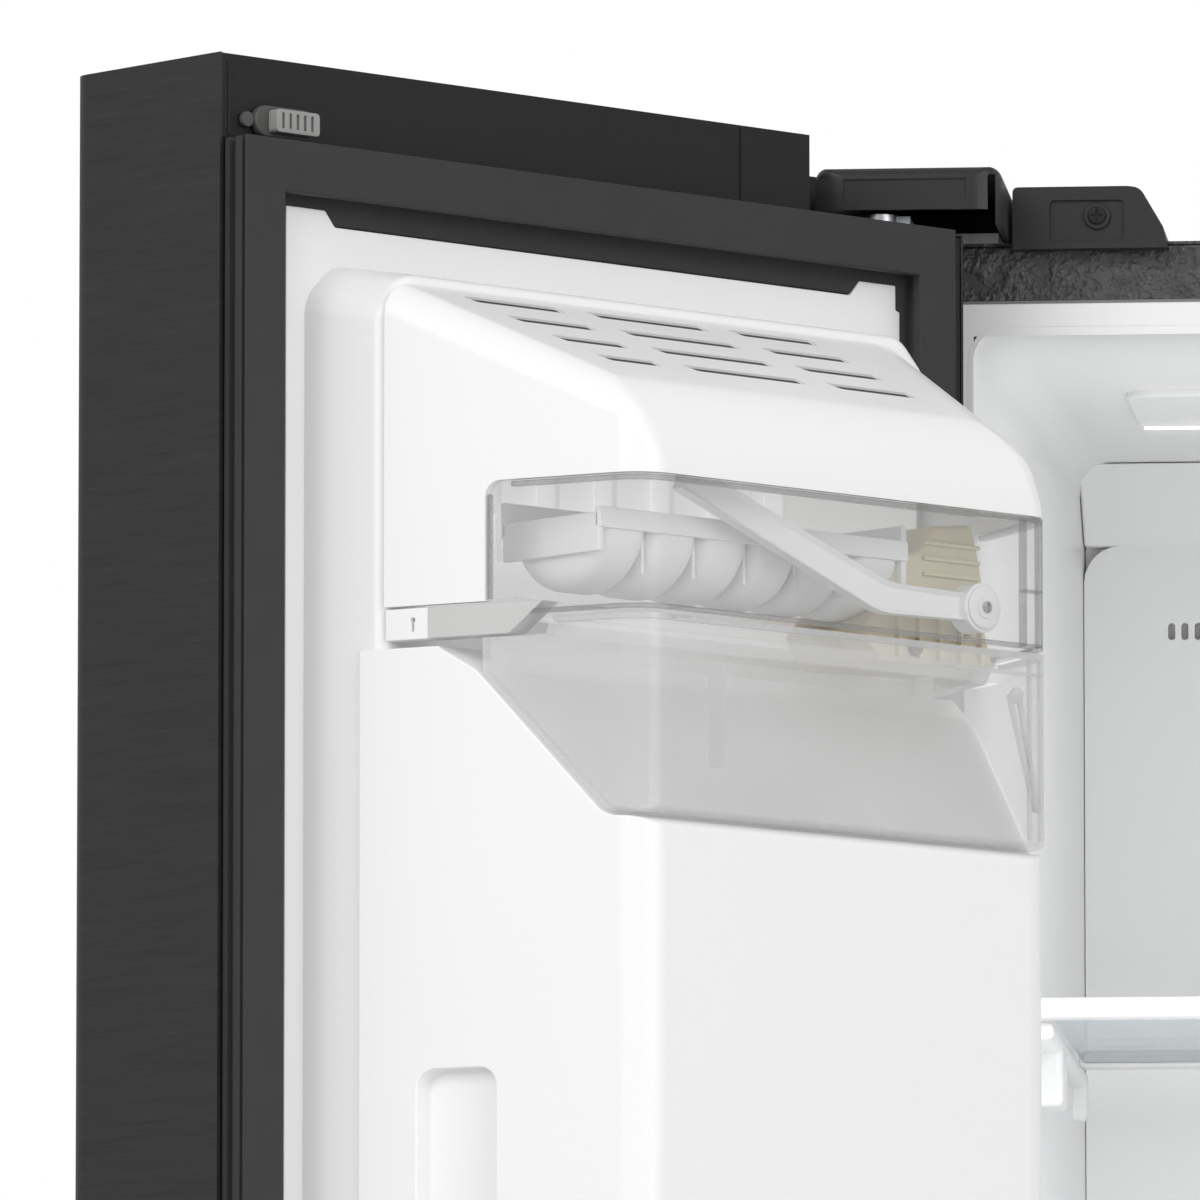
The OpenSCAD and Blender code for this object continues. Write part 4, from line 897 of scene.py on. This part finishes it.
class FRIDGE_OT_arm(Operator):
    """Feeler arm: a channelled lever with a round hub and screw"""
    bl_idname = "fridge.arm"
    bl_label = "Feeler arm"

    def execute(self, context):
        place = door_place("freezer_door_swing")
        z = COVER_Z + 11
        lean = radians(19.5)
        bend = (166, z + 1)
        tip = (bend[0] + 112 * cos(lean), bend[1] + 112 * sin(lean))
        up = (-sin(lean) * 5.6, cos(lean) * 5.6)
        outline = [(112, 123, z - 5), (bend[0] + 3, 123, bend[1] - 7), (tip[0] - up[0], 123, tip[1] - up[1]),
                   (tip[0] + up[0], 123, tip[1] + up[1]), (bend[0] - 2, 123, bend[1] + 5), (112, 123, z + 5)]
        bm = prism(outline, (0, 6, 0))
        soften(bm, lambda at, way: abs(way.y) > 3 and abs(at.x - bend[0]) < 8, 6)
        made = rounded(raw("feeler_lever", bm, place), 4)
        edit = bmesh.new()
        edit.from_mesh(made.data)
        out = (place.to_3x3() @ Vector((0, 1, 0))).normalized()
        fronts = [f for f in edit.faces if f.normal.dot(out) > 0.98]
        bmesh.ops.inset_region(edit, faces=fronts, thickness=0.0018, depth=0, use_even_offset=True)
        bmesh.ops.translate(edit, verts=list({v for f in fronts for v in f.verts}), vec=-out * 0.0022)
        edit.to_mesh(made.data)
        edit.free()
        broken_edges(made, 0.35)
        hub = joined(rod((116, 121, z), (116, 130.4, z), 9.7, 48),
                     rod((116, 130.4, z), (116, 131.4, z), 8.3, 48))
        merge(made, broken_edges(raw("hub", hub, place), 0.5, 3))
        collar = joined(rod((116, 131.2, z), (116, 132.2, z), 4.3, 32))
        merge(made, broken_edges(raw("collar", collar, place), 0.4, 2))
        done(made, "arm", "white_plastic", "feeler_arm")
        screw = joined(rod((116, 132, z), (116, 133.4, z), 2.3, 24))
        screw = broken_edges(raw("lever_screw", screw, place), 0.5, 3)
        screw = cut(screw, raw("cutter", slab((115.6, 116.4), (132.7, 139), (z - 3, z + 3)), place),
                    raw("cutter", slab((113, 119), (132.7, 139), (z - 0.4, z + 0.4)), place))
        done(screw, "arm", "zinc_steel")
        return {"FINISHED"}


class FRIDGE_OT_drive(Operator):
    """Cream gear housing of the ice maker with its ribs, shaft and screws"""
    bl_idname = "fridge.drive"
    bl_label = "Ice maker drive"

    def execute(self, context):
        place = door_place("freezer_door_swing")
        z = COVER_Z
        case = prism([(96, 62, z + 16), (152, 62, z + 12), (156, 62, z + 22), (148, 62, z + 31),
                      (132, 62, z + 33), (124, 62, z + 44), (104, 62, z + 46), (100, 62, z + 34)], (0, 50, 0))
        lower = prism([(88, 62, z - 9), (150, 62, z - 11), (158, 62, z + 2), (146, 62, z + 14),
                       (96, 62, z + 16)],
                      (0, 46, 0))
        ribs = [slab((101, 131), (112, 113.6), (z + 18 + i * 6, z + 19.6 + i * 6)) for i in range(4)]
        ribs += [slab((96 + i * 11, 97.6 + i * 11), (108, 110.4), (z - 8, z + 12)) for i in range(5)]
        made = broken_edges(raw("drive_case", joined(case, lower), place), 2.2, 3)
        merge(made, broken_edges(raw("ribs", joined(*ribs), place), 0.4))
        shaft = joined(rod((116, 104, z + 11), (116, 127, z + 11), 3, 24),
                       rod((130, tray_y(), z + 31.5), (150, tray_y(), z + 31.5), 4, 24))
        merge(made, broken_edges(raw("shaft", shaft, place), 0.4))
        done(made, "freezer_door", "beige_plastic", "ice_drive")
        back = [slab((70, 330), (BORDER + 0.6, 46), (z + 1, z + 70)),
                slab((70, 330), (46, 58), (z + 38, z + 42)), slab((70, 330), (46, 52), (z + 26, z + 28))]
        back += [slab((150 + i * 30, 153 + i * 30), (46, 57), (z + 20, z + 60)) for i in range(6)]
        # The back wall takes the painted glow white: its emission stands in for light in the hood's shaded inside.
        wall = broken_edges(raw("ice_maker_back", joined(*back), place), 0.8)
        done(wall, "freezer_door", "white_plastic", finish=FINISHES["painted_glow_white"])
        screws = []
        for x, h in ((104, z + 6), (132, z - 4), (120, z + 40)):
            screws.append(rod((x, 107, h), (x, 110.6, h), 3.1, 20))
        bits = broken_edges(raw("drive_screws", joined(*screws), place), 0.6, 2)
        done(bits, "freezer_door", "zinc_steel", finish=FINISHES["brown_bits"])
        return {"FINISHED"}


def tray_y():
    return 88


# ---- seals, caps and bumpers ----

def swept_ring(section, x, z):
    """Sweeps an [inward, depth] section round a rectangle with mitred corners."""
    bm = bmesh.new()
    loops = []
    for sx, sz in ((0, 0), (1, 0), (1, 1), (0, 1)):
        verts = []
        for inward, depth in section:
            verts.append(bm.verts.new((x[sx] + (inward if sx == 0 else -inward), depth,
                                       z[sz] + (inward if sz == 0 else -inward))))
        loops.append([bm.edges.new((verts[i], verts[(i + 1) % len(verts)])) for i in range(len(verts))])
    for i in range(4):
        bmesh.ops.bridge_loops(bm, edges=loops[i] + loops[(i + 1) % 4])
    bmesh.ops.recalc_face_normals(bm, faces=bm.faces)
    return bm


GASKET = [(1.6, 0.1), (0.2, 0.6), (0.2, 3.0), (2.4, 3.6), (2.4, 6.2), (0.2, 6.8), (0.2, 10.4), (2.2, 11.0),
          (2.2, 11.9), (0.0, 12.3), (0.0, 13.2), (0.6, 13.7), (19.2, 13.7), (20.0, 13.0), (20.0, 9.8),
          (17.6, 9.0), (17.6, 4.6), (20.0, 3.4), (22.5, 2.6), (28.0, 2.4), (29.0, 1.6), (29.0, 0.1)]


class FRIDGE_OT_seals(Operator):
    """Ridged magnetic seals of both doors and the plates that carry them"""
    bl_idname = "fridge.seals"
    bl_label = "Door seals"

    def execute(self, context):
        for name, joint, w, mirrored in DOORS:
            place = door_place(joint, mirrored)
            ring = swept_ring(GASKET, (HINGE_IN, w - 2), (SEAL_FOOT, SEAL_TOP))
            seal = raw(name + "_seal", ring, place)
            done(seal, name + "_door", "seal_rubber", name + "_gasket", sharp=50)
            plate = slab((1.5, w - 1.5), (-2, -0.2), (DOOR_FOOT + 28.2, SEAL_TOP - 0.3))
            carrier = broken_edges(raw(name + "_seal_plate", plate, place), 0.3)
            done(carrier, name + "_door", "dark_plastic")
        return {"FINISHED"}


DOORS = (("freezer", "freezer_door_swing", 394, False), ("fridge", "fridge_door_swing", 513, True))


class FRIDGE_OT_caps(Operator):
    """Top and bottom caps of both doors, notched for the hinges"""
    bl_idname = "fridge.caps"
    bl_label = "Door caps"

    def execute(self, context):
        for name, joint, w, mirrored in DOORS:
            place = door_place(joint, mirrored)
            parts = []
            for low, high in ((SEAL_TOP + 0.2, DOOR_TOP - 0.2), (DOOR_FOOT + 0.2, SEAL_FOOT - 0.2)):
                body = slab((1.4, w - 1.4), (-86.6, -0.1), (low, high))
                soften(body, lambda at, way: at.y < -80 and abs(way.z) > 5, 9)
                part = rounded(raw("cap", body, place), 5)
                if low > 1000:
                    cutters = [slab((-5, 84), (-80, 5), (CABINET_TOP - 4, DOOR_TOP + 5)),
                               slab((83, 96), (-70, -4), (DOOR_TOP - 1, DOOR_TOP + 5)),
                               slab((128, w - 14), (-74, -12), (DOOR_TOP - 2.2, DOOR_TOP + 5)),
                               rod((HINGE_IN, -HINGE_OUT, 1700), (HINGE_IN, -HINGE_OUT, 1800), 6.05, 40)]
                    part = cut(part, *[raw("cutter", c, place) for c in cutters])
                parts.append(broken_edges(part, 0.7, 2, 40))
            made = merge(parts[0], parts[1])
            made.name = name + "_door_caps_finished"
            bars = [slab((113.6, 121.7), (-1, 0.5), (SEAL_TOP + 1, DOOR_TOP - 1.2)),
                    slab((w - 5.5, w - 4), (-1, 0.35), (SEAL_TOP + 1, DOOR_TOP - 3)),
                    rod((HINGE_IN, -HINGE_OUT, 1722), (HINGE_IN, -HINGE_OUT, 1757), 12, 40)]
            merge(made, broken_edges(raw("bars", joined(*bars), place), 0.25, 2))
            done(made, name + "_door", "dark_plastic", name + "_door_caps")
        return {"FINISHED"}


class FRIDGE_OT_bumper(Operator):
    """Soft ribbed closer on the freezer door's top cap"""
    bl_idname = "fridge.bumper"
    bl_label = "Door bumper"

    def execute(self, context):
        place = door_place("freezer_door_swing")
        z = CABINET_TOP + 3
        base = slab((348, 378.8), (0.1, 3.6), (z - 6, z + 6))
        soften(base, lambda at, way: abs(way.y) > 2, 5.8)
        made = broken_edges(rounded(raw("door_bumper", base, place), 6), 0.7, 3)
        done(made, "freezer_door", "grey_plastic", "door_bumpers", finish=FINISHES["bumper_base"])
        pad = slab((350.5, 372.5), (3.6, 8.6), (z - 4.6, z + 4.4))
        soften(pad, lambda at, way: abs(way.y) > 2, 1.6)
        soft = rounded(raw("bumper_pad", pad, place), 3)
        for i in range(5):
            slot = slab((353.6 + i * 3.7, 354.9 + i * 3.7), (7.0, 12), (z - 3, z + 3))
            soft = cut(soft, raw("cutter", slot, place))
        soft = broken_edges(soft, 0.35, 2, 40)
        done(soft, "freezer_door", "grey_plastic", finish=FINISHES["bumper_pad"])
        ring = rod((381.5, 0.1, z), (381.5, 2.4, z), 3, 24)
        done(broken_edges(raw("bumper_stud", ring, place), 0.5), "freezer_door", "grey_plastic",
             finish=FINISHES["bumper_base"])
        return {"FINISHED"}


# ---- hinges and covers on the cabinet's top ----

def both_sides():
    """The cabinet's own frame and its mirror image, for pieces that come in pairs."""
    other = Matrix.Translation((0.819, 0, 0)) @ Matrix.Diagonal((-1, 1, 1, 1)) @ cabinet_place()
    return (("left", cabinet_place()), ("right", other))


class FRIDGE_OT_hinge_covers(Operator):
    """Rounded hinge covers and the wire covers beside them"""
    bl_idname = "fridge.hinge_covers"
    bl_label = "Hinge covers"

    def execute(self, context):
        top = CABINET_TOP + 23.5
        for side, place in both_sides():
            body = slab((-9, 66), (-55, 62), (CABINET_TOP + 0.6, top))
            soften(body, lambda at, way: abs(way.z) > 10, 13)
            soften(body, lambda at, way: at.z > top - 1, 4.5)
            made = rounded(raw("hinge_cover_" + side, body, place), 5)
            hollow = [slab((10.5, 63.5), (-52.5, 59.5), (CABINET_TOP - 5, top - 3)),
                      slab((-20, 62), (-80, -21), (CABINET_TOP - 5, CABINET_TOP + 6.2)),
                      slab((-20, 8), (-12, 80), (CABINET_TOP - 5, top + 5)),
                      slab((3, 52), (-57, -54.3), (CABINET_TOP + 9.5, top - 5))]
            made = cut(made, *[raw("cutter", h, place) for h in hollow])
            broken_edges(made, 0.4, 2, 40)
            done(made, "cabinet", "dark_plastic", *(["hinge_covers"] if side == "left" else []),
                 finish=FINISHES["cover_plastic"])

            x = (67.6, 119)
            wedge = prism([(x[0], -8, CABINET_TOP - 3.6), (x[1] + 11, -8, CABINET_TOP - 3.6),
                           (x[1] + 9, -8, CABINET_TOP + 5), (x[1], -8, top - 3), (x[1] - 4, -8, top - 2),
                           (x[0], -8, top - 2)], (0, 76, 0))
            soften(wedge, lambda at, way: at.z > top - 6 and abs(way.y) > 20, 3)
            made = rounded(raw("wire_cover_" + side, wedge, place), 3)
            made = cut(made, raw("cutter", slab((60, 140), (-0.2, 80), (1700, CABINET_TOP + 0.4)), place))
            panel = soften(slab((82.5, 112.5), (-12, -6.6), (CABINET_TOP - 1, CABINET_TOP + 16)),
                           lambda at, way: abs(way.y) > 2, 2)
            made = cut(made, rounded(raw("cutter", panel, place), 3))
            broken_edges(made, 0.5, 2, 40)
            ring = broken_edges(raw("ring", rod((101.5, -8.2, CABINET_TOP + 9.5),
                                                (101.5, -6, CABINET_TOP + 9.5), 5.4, 40),
                                    place), 0.6, 3)
            merge(made, ring)
            done(made, "cabinet", "dark_plastic", *(["wire_covers"] if side == "left" else []),
                 finish=FINISHES["cover_plastic"])
            head = rod((101.5, -9.6, CABINET_TOP + 9.5), (101.5, -8, CABINET_TOP + 9.5), 3.6, 32)
            screw = broken_edges(raw("wire_cover_screw_" + side, head, place), 0.8, 3)
            z = CABINET_TOP + 9.5
            screw = cut(screw, raw("cutter", slab((101.1, 101.9), (-12, -8.8), (z - 2.6, z + 2.6)), place),
                        raw("cutter", slab((98.9, 104.1), (-12, -8.8), (z - 0.4, z + 0.4)), place))
            done(screw, "cabinet", "dark_plastic", *(["cover_screws"] if side == "left" else []))
            cap = rod((42, 30, top - 0.3), (42, 30, top + 1.2), 5, 32)
            screw = broken_edges(raw("hinge_cover_screw_" + side, cap, place), 0.5, 3)
            done(screw, "cabinet", "dark_plastic")
        return {"FINISHED"}


# ---- cabinet front and rooms ----

ROOMS = (("freezer", (51, 366)), ("fridge", (428, 862)))
# the fridge door's liner reaches further into the corners, so its compartment is rounded less
ROOM_ROUNDING = {"freezer": 1.0, "fridge": 0.5}


class FRIDGE_OT_front_frame(Operator):
    """Textured black frame round the openings, with a bright edge inside"""
    bl_idname = "fridge.front_frame"
    bl_label = "Front frame"

    def execute(self, context):
        place = cabinet_place()
        body = slab((1.3, CABINET_W - 1.3), (0, 12), (73.4, CABINET_TOP - 1.3))
        soften(body, lambda at, way: at.y < 1, 1.2)
        made = rounded(raw("front_frame_textured", body, place), 3)
        for name, x in ROOMS:
            hole = slab((x[0] - 14, x[1] + 14), (-5, 20), (ROOM_FLOOR - LIP, ROOM_TOP + LIP))
            made = cut(made, raw("cutter", hole, place))
        broken_edges(made, 0.4, 2, 40)
        done(made, "cabinet", "black_metal", "front_frame")
        trims = []
        for name, x in ROOMS:
            section = [(0, -0.15), (1.1, -0.15), (1.1, 3), (0, 3)]
            trims.append(swept_ring(section, (x[0] - 14, x[1] + 14), (ROOM_FLOOR - LIP, ROOM_TOP + LIP)))
        done(raw("opening_trim", joined(*trims), place), "cabinet", "grey_plastic")
        return {"FINISHED"}


def room_cavity(x, size):
    """The hollow of a compartment as a solid, narrower at the back and stepped over the machinery."""
    taper = 17 / 449
    points = [(0, ROOM_FLOOR), (HUMP[0], ROOM_FLOOR), (HUMP[0], HUMP[1]), (540, HUMP[1]), (540, ROOM_TOP),
              (0, ROOM_TOP)]
    bm = profile_x(points, lambda y: x[0] + taper * y, lambda y: x[1] - taper * y)
    soften(bm, lambda at, way: abs(way.y) > 50 or (at.y > 300 and abs(way.z) > 50), size)
    soften(bm, lambda at, way: abs(way.x) > 50 and at.y > 300, size)
    return bm


class FRIDGE_OT_rooms(Operator):
    """White moulded liners of both compartments, with ledges, bosses and ceiling relief"""
    bl_idname = "fridge.rooms"
    bl_label = "Compartment liners"

    def execute(self, context):
        place = cabinet_place()
        for name, x in ROOMS:
            size = sizes().room_round * 1000 * ROOM_ROUNDING[name]
            made = rounded(raw(name + "_room", room_cavity(x, size), place), 5)
            edit = bmesh.new()
            edit.from_mesh(made.data)
            fronts = [f for f in edit.faces if f.normal.y < -0.98]
            bmesh.ops.delete(edit, geom=fronts, context="FACES")
            bmesh.ops.reverse_faces(edit, faces=edit.faces)
            edit.to_mesh(made.data)
            edit.free()
            thick(made, 2)
            extras = []
            lip = swept_ring([(0, 0.2), (0, 2), (LIP + 3.4, 2), (LIP + 3.4, 0.2)], (x[0] - 13.6, x[1] + 13.6),
                             (ROOM_FLOOR - LIP + 0.2, ROOM_TOP + LIP - 0.2))
            extras.append(raw("lip", lip, place))
            ledge = []
            for i in range(3):
                z = ROOM_TOP - SHELF_DROP - i * SHELF_PITCH
                for edge, inward in ((x[0], 1), (x[1], -1)):
                    side = sorted((edge, edge + 21 * inward))
                    ledge.append(slab(side, (168, 408), (z - 8, z - 0.2)))
                    ledge.append(slab(side, (230, 262), (z - 30, z - 3)))
                    ledge.append(slab(side, (396, 408), (z - 22, z - 3)))
            extras.append(broken_edges(raw("ledges", joined(*ledge), place), 3, 3))
            runner = []
            inner = {"freezer": (80, 344), "fridge": (452, 830)}[name]
            for z0, depth in ((154, 236), (348, 335)):
                z = z0 + 160 - 8 - 2.5 - 1
                for side in ((x[0] + 0.5, inner[0] + 9), (inner[1] - 9, x[1] - 0.5)):
                    runner.append(slab(side, (112, 100 + depth), (z - 8, z)))
            extras.append(broken_edges(raw("runners", joined(*runner), place), 1.2, 2))
            merge(made, *extras)
            if name == "freezer":
                plate = slab((101, 316), (193, 290), (ROOM_TOP - 3, ROOM_TOP + 1))
                soften(plate, lambda at, way: abs(way.z) > 2, 12)
                merge(made, broken_edges(rounded(raw("relief", plate, place), 5), 1.2, 3, 40))
            done(made, "cabinet", "white_plastic", name + "_liner")
        return {"FINISHED"}


def widen(bm):
    """Brings a panel's two sides up to the freezer room's drafted walls."""
    x = ROOMS[0][1]
    for v in bm.verts:
        draft = 17 / 449 * v.co.y + 0.35
        v.co.x = x[0] + draft if v.co.x < sum(x) / 2 else x[1] - draft


class FRIDGE_OT_ducts(Operator):
    """Cold air panels on the back walls, with pill-shaped vents"""
    bl_idname = "fridge.ducts"
    bl_label = "Cold air panels"

    def execute(self, context):
        place = cabinet_place()
        top = ROOM_TOP - 33
        body = slab((70, 347), (449, 457), (335, top))
        widen(body)
        soften(body, lambda at, way: abs(way.y) > 4 and at.z > 1000, 16)
        made = rounded(raw("freezer_air_panel", body, place), 6)
        for z in (ROOM_TOP - 70.5, top_shelf() - 60, top_shelf() - 330, top_shelf() - 600):
            pills = [slab((x - 1.5, x + 1.5), (440, 470), (z - 3.7, z + 3.7))
                     for first in (106, 188.5, 271) for x in (first + 5.7 * i for i in range(8))]
            pills = soften(joined(*pills), lambda at, way: abs(way.y) > 9, 1.45)
            made = cut(made, rounded(raw("cutter", pills, place), 3))
        broken_edges(made, 1.2, 3, 40)
        lean = prism([(70, 449, top - 0.5), (70, 457, top - 0.5), (70, 434, ROOM_TOP - 0.4),
                      (70, 424, ROOM_TOP - 0.4)],
                     (277, 0, 0))
        widen(lean)
        merge(made, broken_edges(raw("lean", lean, place), 1.5, 3))
        back = slab((72, 345), (457, 461), (335, top))
        widen(back)
        merge(made, raw("backing", back, place))
        done(made, "cabinet", "white_plastic", "freezer_duct")
        middle = 645
        body = slab((middle - 90, middle + 90), (514, 539.6), (353, ROOM_TOP - 40))
        soften(body, lambda at, way: abs(way.y) > 10, 22)
        soften(body, lambda at, way: at.y < 515, 8)
        made = rounded(raw("fridge_air_column", body, place), 5)
        for i in range(3):
            z = top_shelf() - i * SHELF_PITCH - 56
            for side in (-66, 16):
                slot = soften(slab((middle + side, middle + side + 50), (500, 524), (z - 4, z + 4)),
                              lambda at, way: abs(way.y) > 9, 3.8)
                made = cut(made, rounded(raw("cutter", slot, place), 3))
        broken_edges(made, 0.8, 2, 45)
        done(made, "cabinet", "white_plastic", "fridge_duct")
        return {"FINISHED"}


class FRIDGE_OT_lamps(Operator):
    """Ceiling lamps: a white housing with a narrow bright strip along its front"""
    bl_idname = "fridge.lamps"
    bl_label = "Ceiling lamps"

    def execute(self, context):
        place = cabinet_place()
        boxes = (((103.5, 313.5), (271, 302)), ((538, 752), (210, 250)))
        housings = []
        strips = []
        for x, y in boxes:
            housings.append(slab(x, (y[0] + 12, y[1]), (ROOM_TOP - 5, ROOM_TOP - 0.2)))
            housings.append(slab(x, (y[0], y[0] + 1.2), (ROOM_TOP - 5, ROOM_TOP - 0.2)))
            strips.append(slab((x[0] + 1, x[1] - 1), (y[0] + 1.5, y[0] + 11.6),
                               (ROOM_TOP - 4.6, ROOM_TOP - 0.4)))
        shell = broken_edges(raw("lamp_housings", joined(*housings), place), 0.5)
        done(shell, "cabinet", "white_plastic", "interior_lamps")
        glow = broken_edges(raw("lamp_strips", joined(*strips), place), 0.8, 3)
        done(glow, "cabinet", "lamp_diffuser")
        return {"FINISHED"}


def top_shelf():
    return ROOM_TOP - SHELF_DROP


class FRIDGE_OT_shelves(Operator):
    """White trims along the front and back of the glass shelves"""
    bl_idname = "fridge.shelves"
    bl_label = "Shelf trims"

    def execute(self, context):
        place = cabinet_place()
        parts = []
        for name, x in ROOMS:
            span = (x[0] + 18, x[1] - 18)
            for i in range(3):
                z = top_shelf() - i * SHELF_PITCH
                front = slab((span[0] - 4, span[1] + 4), (155, 169), (z, z + 8.5))
                soften(front, lambda at, way: abs(way.x) > 50 and at.y < 156, 3.4)
                front = cut(rounded(raw("front", front, place), 4),
                            raw("cutter", slab((span[0] + 2, span[1] - 2), (161, 190), (z + 2, z + 7)),
                                place))
                back = cut(raw("back", slab(span, (386, 400), (z, z + 9)), place),
                           raw("cutter", slab((span[0] + 2, span[1] - 2), (370, 394), (z + 2, z + 7)), place))
                parts += [broken_edges(front, 0.6, 2, 40), broken_edges(back, 0.8, 2)]
        made = merge(parts[0], *parts[1:])
        made.name = "shelf_trims_rounded"
        done(made, "cabinet", "white_plastic", "shelf_trims")
        return {"FINISHED"}


# ---- the rest of the frame ----

class FRIDGE_OT_finishes(Operator):
    """Gives every carried-over piece of the frame its procedural finish"""
    bl_idname = "fridge.finishes"
    bl_label = "Finishes"

    def execute(self, context):
        make_finishes(context.scene.fridge_look)
        slots = {part["node"]: part["material_slot"] for part in frame["record"]["subparts"]}
        for name, made in frame["nodes"].items():
            made.data.materials.clear()
            made.data.materials.append(FINISHES[slots[name]])
        return {"FINISHED"}


def area_light(name, at, to, size, power, colour=(1, 1, 1)):
    data = bpy.data.lights.new(name, "AREA")
    data.shape = "RECTANGLE"
    data.size, data.size_y = size
    data.energy = power
    data.color = colour
    made = bpy.data.objects.new(name, data)
    made.location = at
    made.rotation_mode = "QUATERNION"
    made.rotation_quaternion = (Vector(to) - Vector(at)).to_track_quat("-Z", "Y")
    bpy.context.scene.collection.objects.link(made)
    return made


class FRIDGE_OT_stage(Operator):
    """Pale floor, soft studio light and the camera"""
    bl_idname = "fridge.stage"
    bl_label = "Studio"

    def execute(self, context):
        scene = context.scene
        floor = bmesh.new()
        bmesh.ops.create_grid(floor, x_segments=1, y_segments=1, size=60,
                              matrix=Matrix.Translation((0, 20, 0)))
        ground = raw("studio_floor", floor, Matrix.Translation((0, 0, -0.0006)))
        paper = Finish("studio_paper")
        paper.colour(paper.blend(paper.noise(0.6, 2.0), (0.86, 0.86, 0.86), (0.9, 0.9, 0.9)))
        paper.rough(0.8 + paper.noise(0.3) * 0.1)
        ground.data.materials.append(paper.material)
        world = bpy.data.worlds.new("studio_world")
        world.use_nodes = True
        world.node_tree.nodes["Background"].inputs["Color"].default_value = (1, 1, 1, 1)
        tree = world.node_tree
        seen = tree.nodes.new("ShaderNodeLightPath").outputs["Is Camera Ray"]
        level = tree.nodes.new("ShaderNodeMapRange")
        level.inputs["To Min"].default_value = 0.62
        level.inputs["To Max"].default_value = 1.0
        tree.links.new(seen, level.inputs["Value"])
        tree.links.new(level.outputs["Result"], tree.nodes["Background"].inputs["Strength"])
        scene.world = world
        scene.view_settings.view_transform = "Standard"
        area_light("key", (-2.0, -3.6, 3.5), (0.2, 0, 1.5), (2.6, 2.6), 66)
        area_light("fill", (3.2, -3.4, 2.9), (0.0, 0.0, 1.4), (2.4, 2.8), 62)
        for name, x in ROOMS:
            at = cabinet_place() @ Vector((sum(x) / 2, 20, 1100))
            lamp = area_light(name + "_room_light", at, at + Vector((0, 1, 0)), (0.24, 1.1), 1.05)
            lamp.visible_camera = lamp.visible_glossy = False
        data = bpy.data.cameras.new("camera")
        data.lens = 453.4
        data.sensor_width = 36
        data.clip_end = 500
        camera = bpy.data.objects.new("camera", data)
        camera.location = (0.409, -6.0416, 0.89125)
        camera.rotation_euler = (radians(90 + 6.889), 0, radians(5.287))
        scene.collection.objects.link(camera)
        scene.camera = camera
        return {"FINISHED"}


OPERATORS = (
    FRIDGE_OT_finishes, FRIDGE_OT_freezer_moulding, FRIDGE_OT_hood, FRIDGE_OT_cover, FRIDGE_OT_bucket,
    FRIDGE_OT_rail, FRIDGE_OT_tray, FRIDGE_OT_arm, FRIDGE_OT_drive, FRIDGE_OT_seals, FRIDGE_OT_caps,
    FRIDGE_OT_bumper, FRIDGE_OT_hinge_covers, FRIDGE_OT_front_frame, FRIDGE_OT_rooms, FRIDGE_OT_ducts,
    FRIDGE_OT_lamps, FRIDGE_OT_shelves, FRIDGE_OT_stage,
)


class FRIDGE_PT_panel(Panel):
    """Sidebar with the sizes, the colours and one button for each piece"""
    bl_label = "Refrigerator"
    bl_idname = "FRIDGE_PT_panel"
    bl_space_type = "VIEW_3D"
    bl_region_type = "UI"
    bl_category = "Refrigerator"

    def draw(self, context):
        for group in (context.scene.fridge_sizes, context.scene.fridge_look):
            for name in group.__annotations__:
                self.layout.prop(group, name)
        for operator in OPERATORS:
            self.layout.operator(operator.bl_idname)


CLASSES = (FridgeLook, FridgeSizes, *OPERATORS, FRIDGE_PT_panel)


def register():
    for each in CLASSES:
        bpy.utils.register_class(each)
    bpy.types.Scene.fridge_look = PointerProperty(type=FridgeLook)
    bpy.types.Scene.fridge_sizes = PointerProperty(type=FridgeSizes)


def unregister():
    del bpy.types.Scene.fridge_sizes
    del bpy.types.Scene.fridge_look
    for each in reversed(CLASSES):
        bpy.utils.unregister_class(each)


def main():
    register()
    for operator in OPERATORS:
        getattr(bpy.ops.fridge, operator.bl_idname.split(".")[1])()


if __name__ == "__main__":
    main()
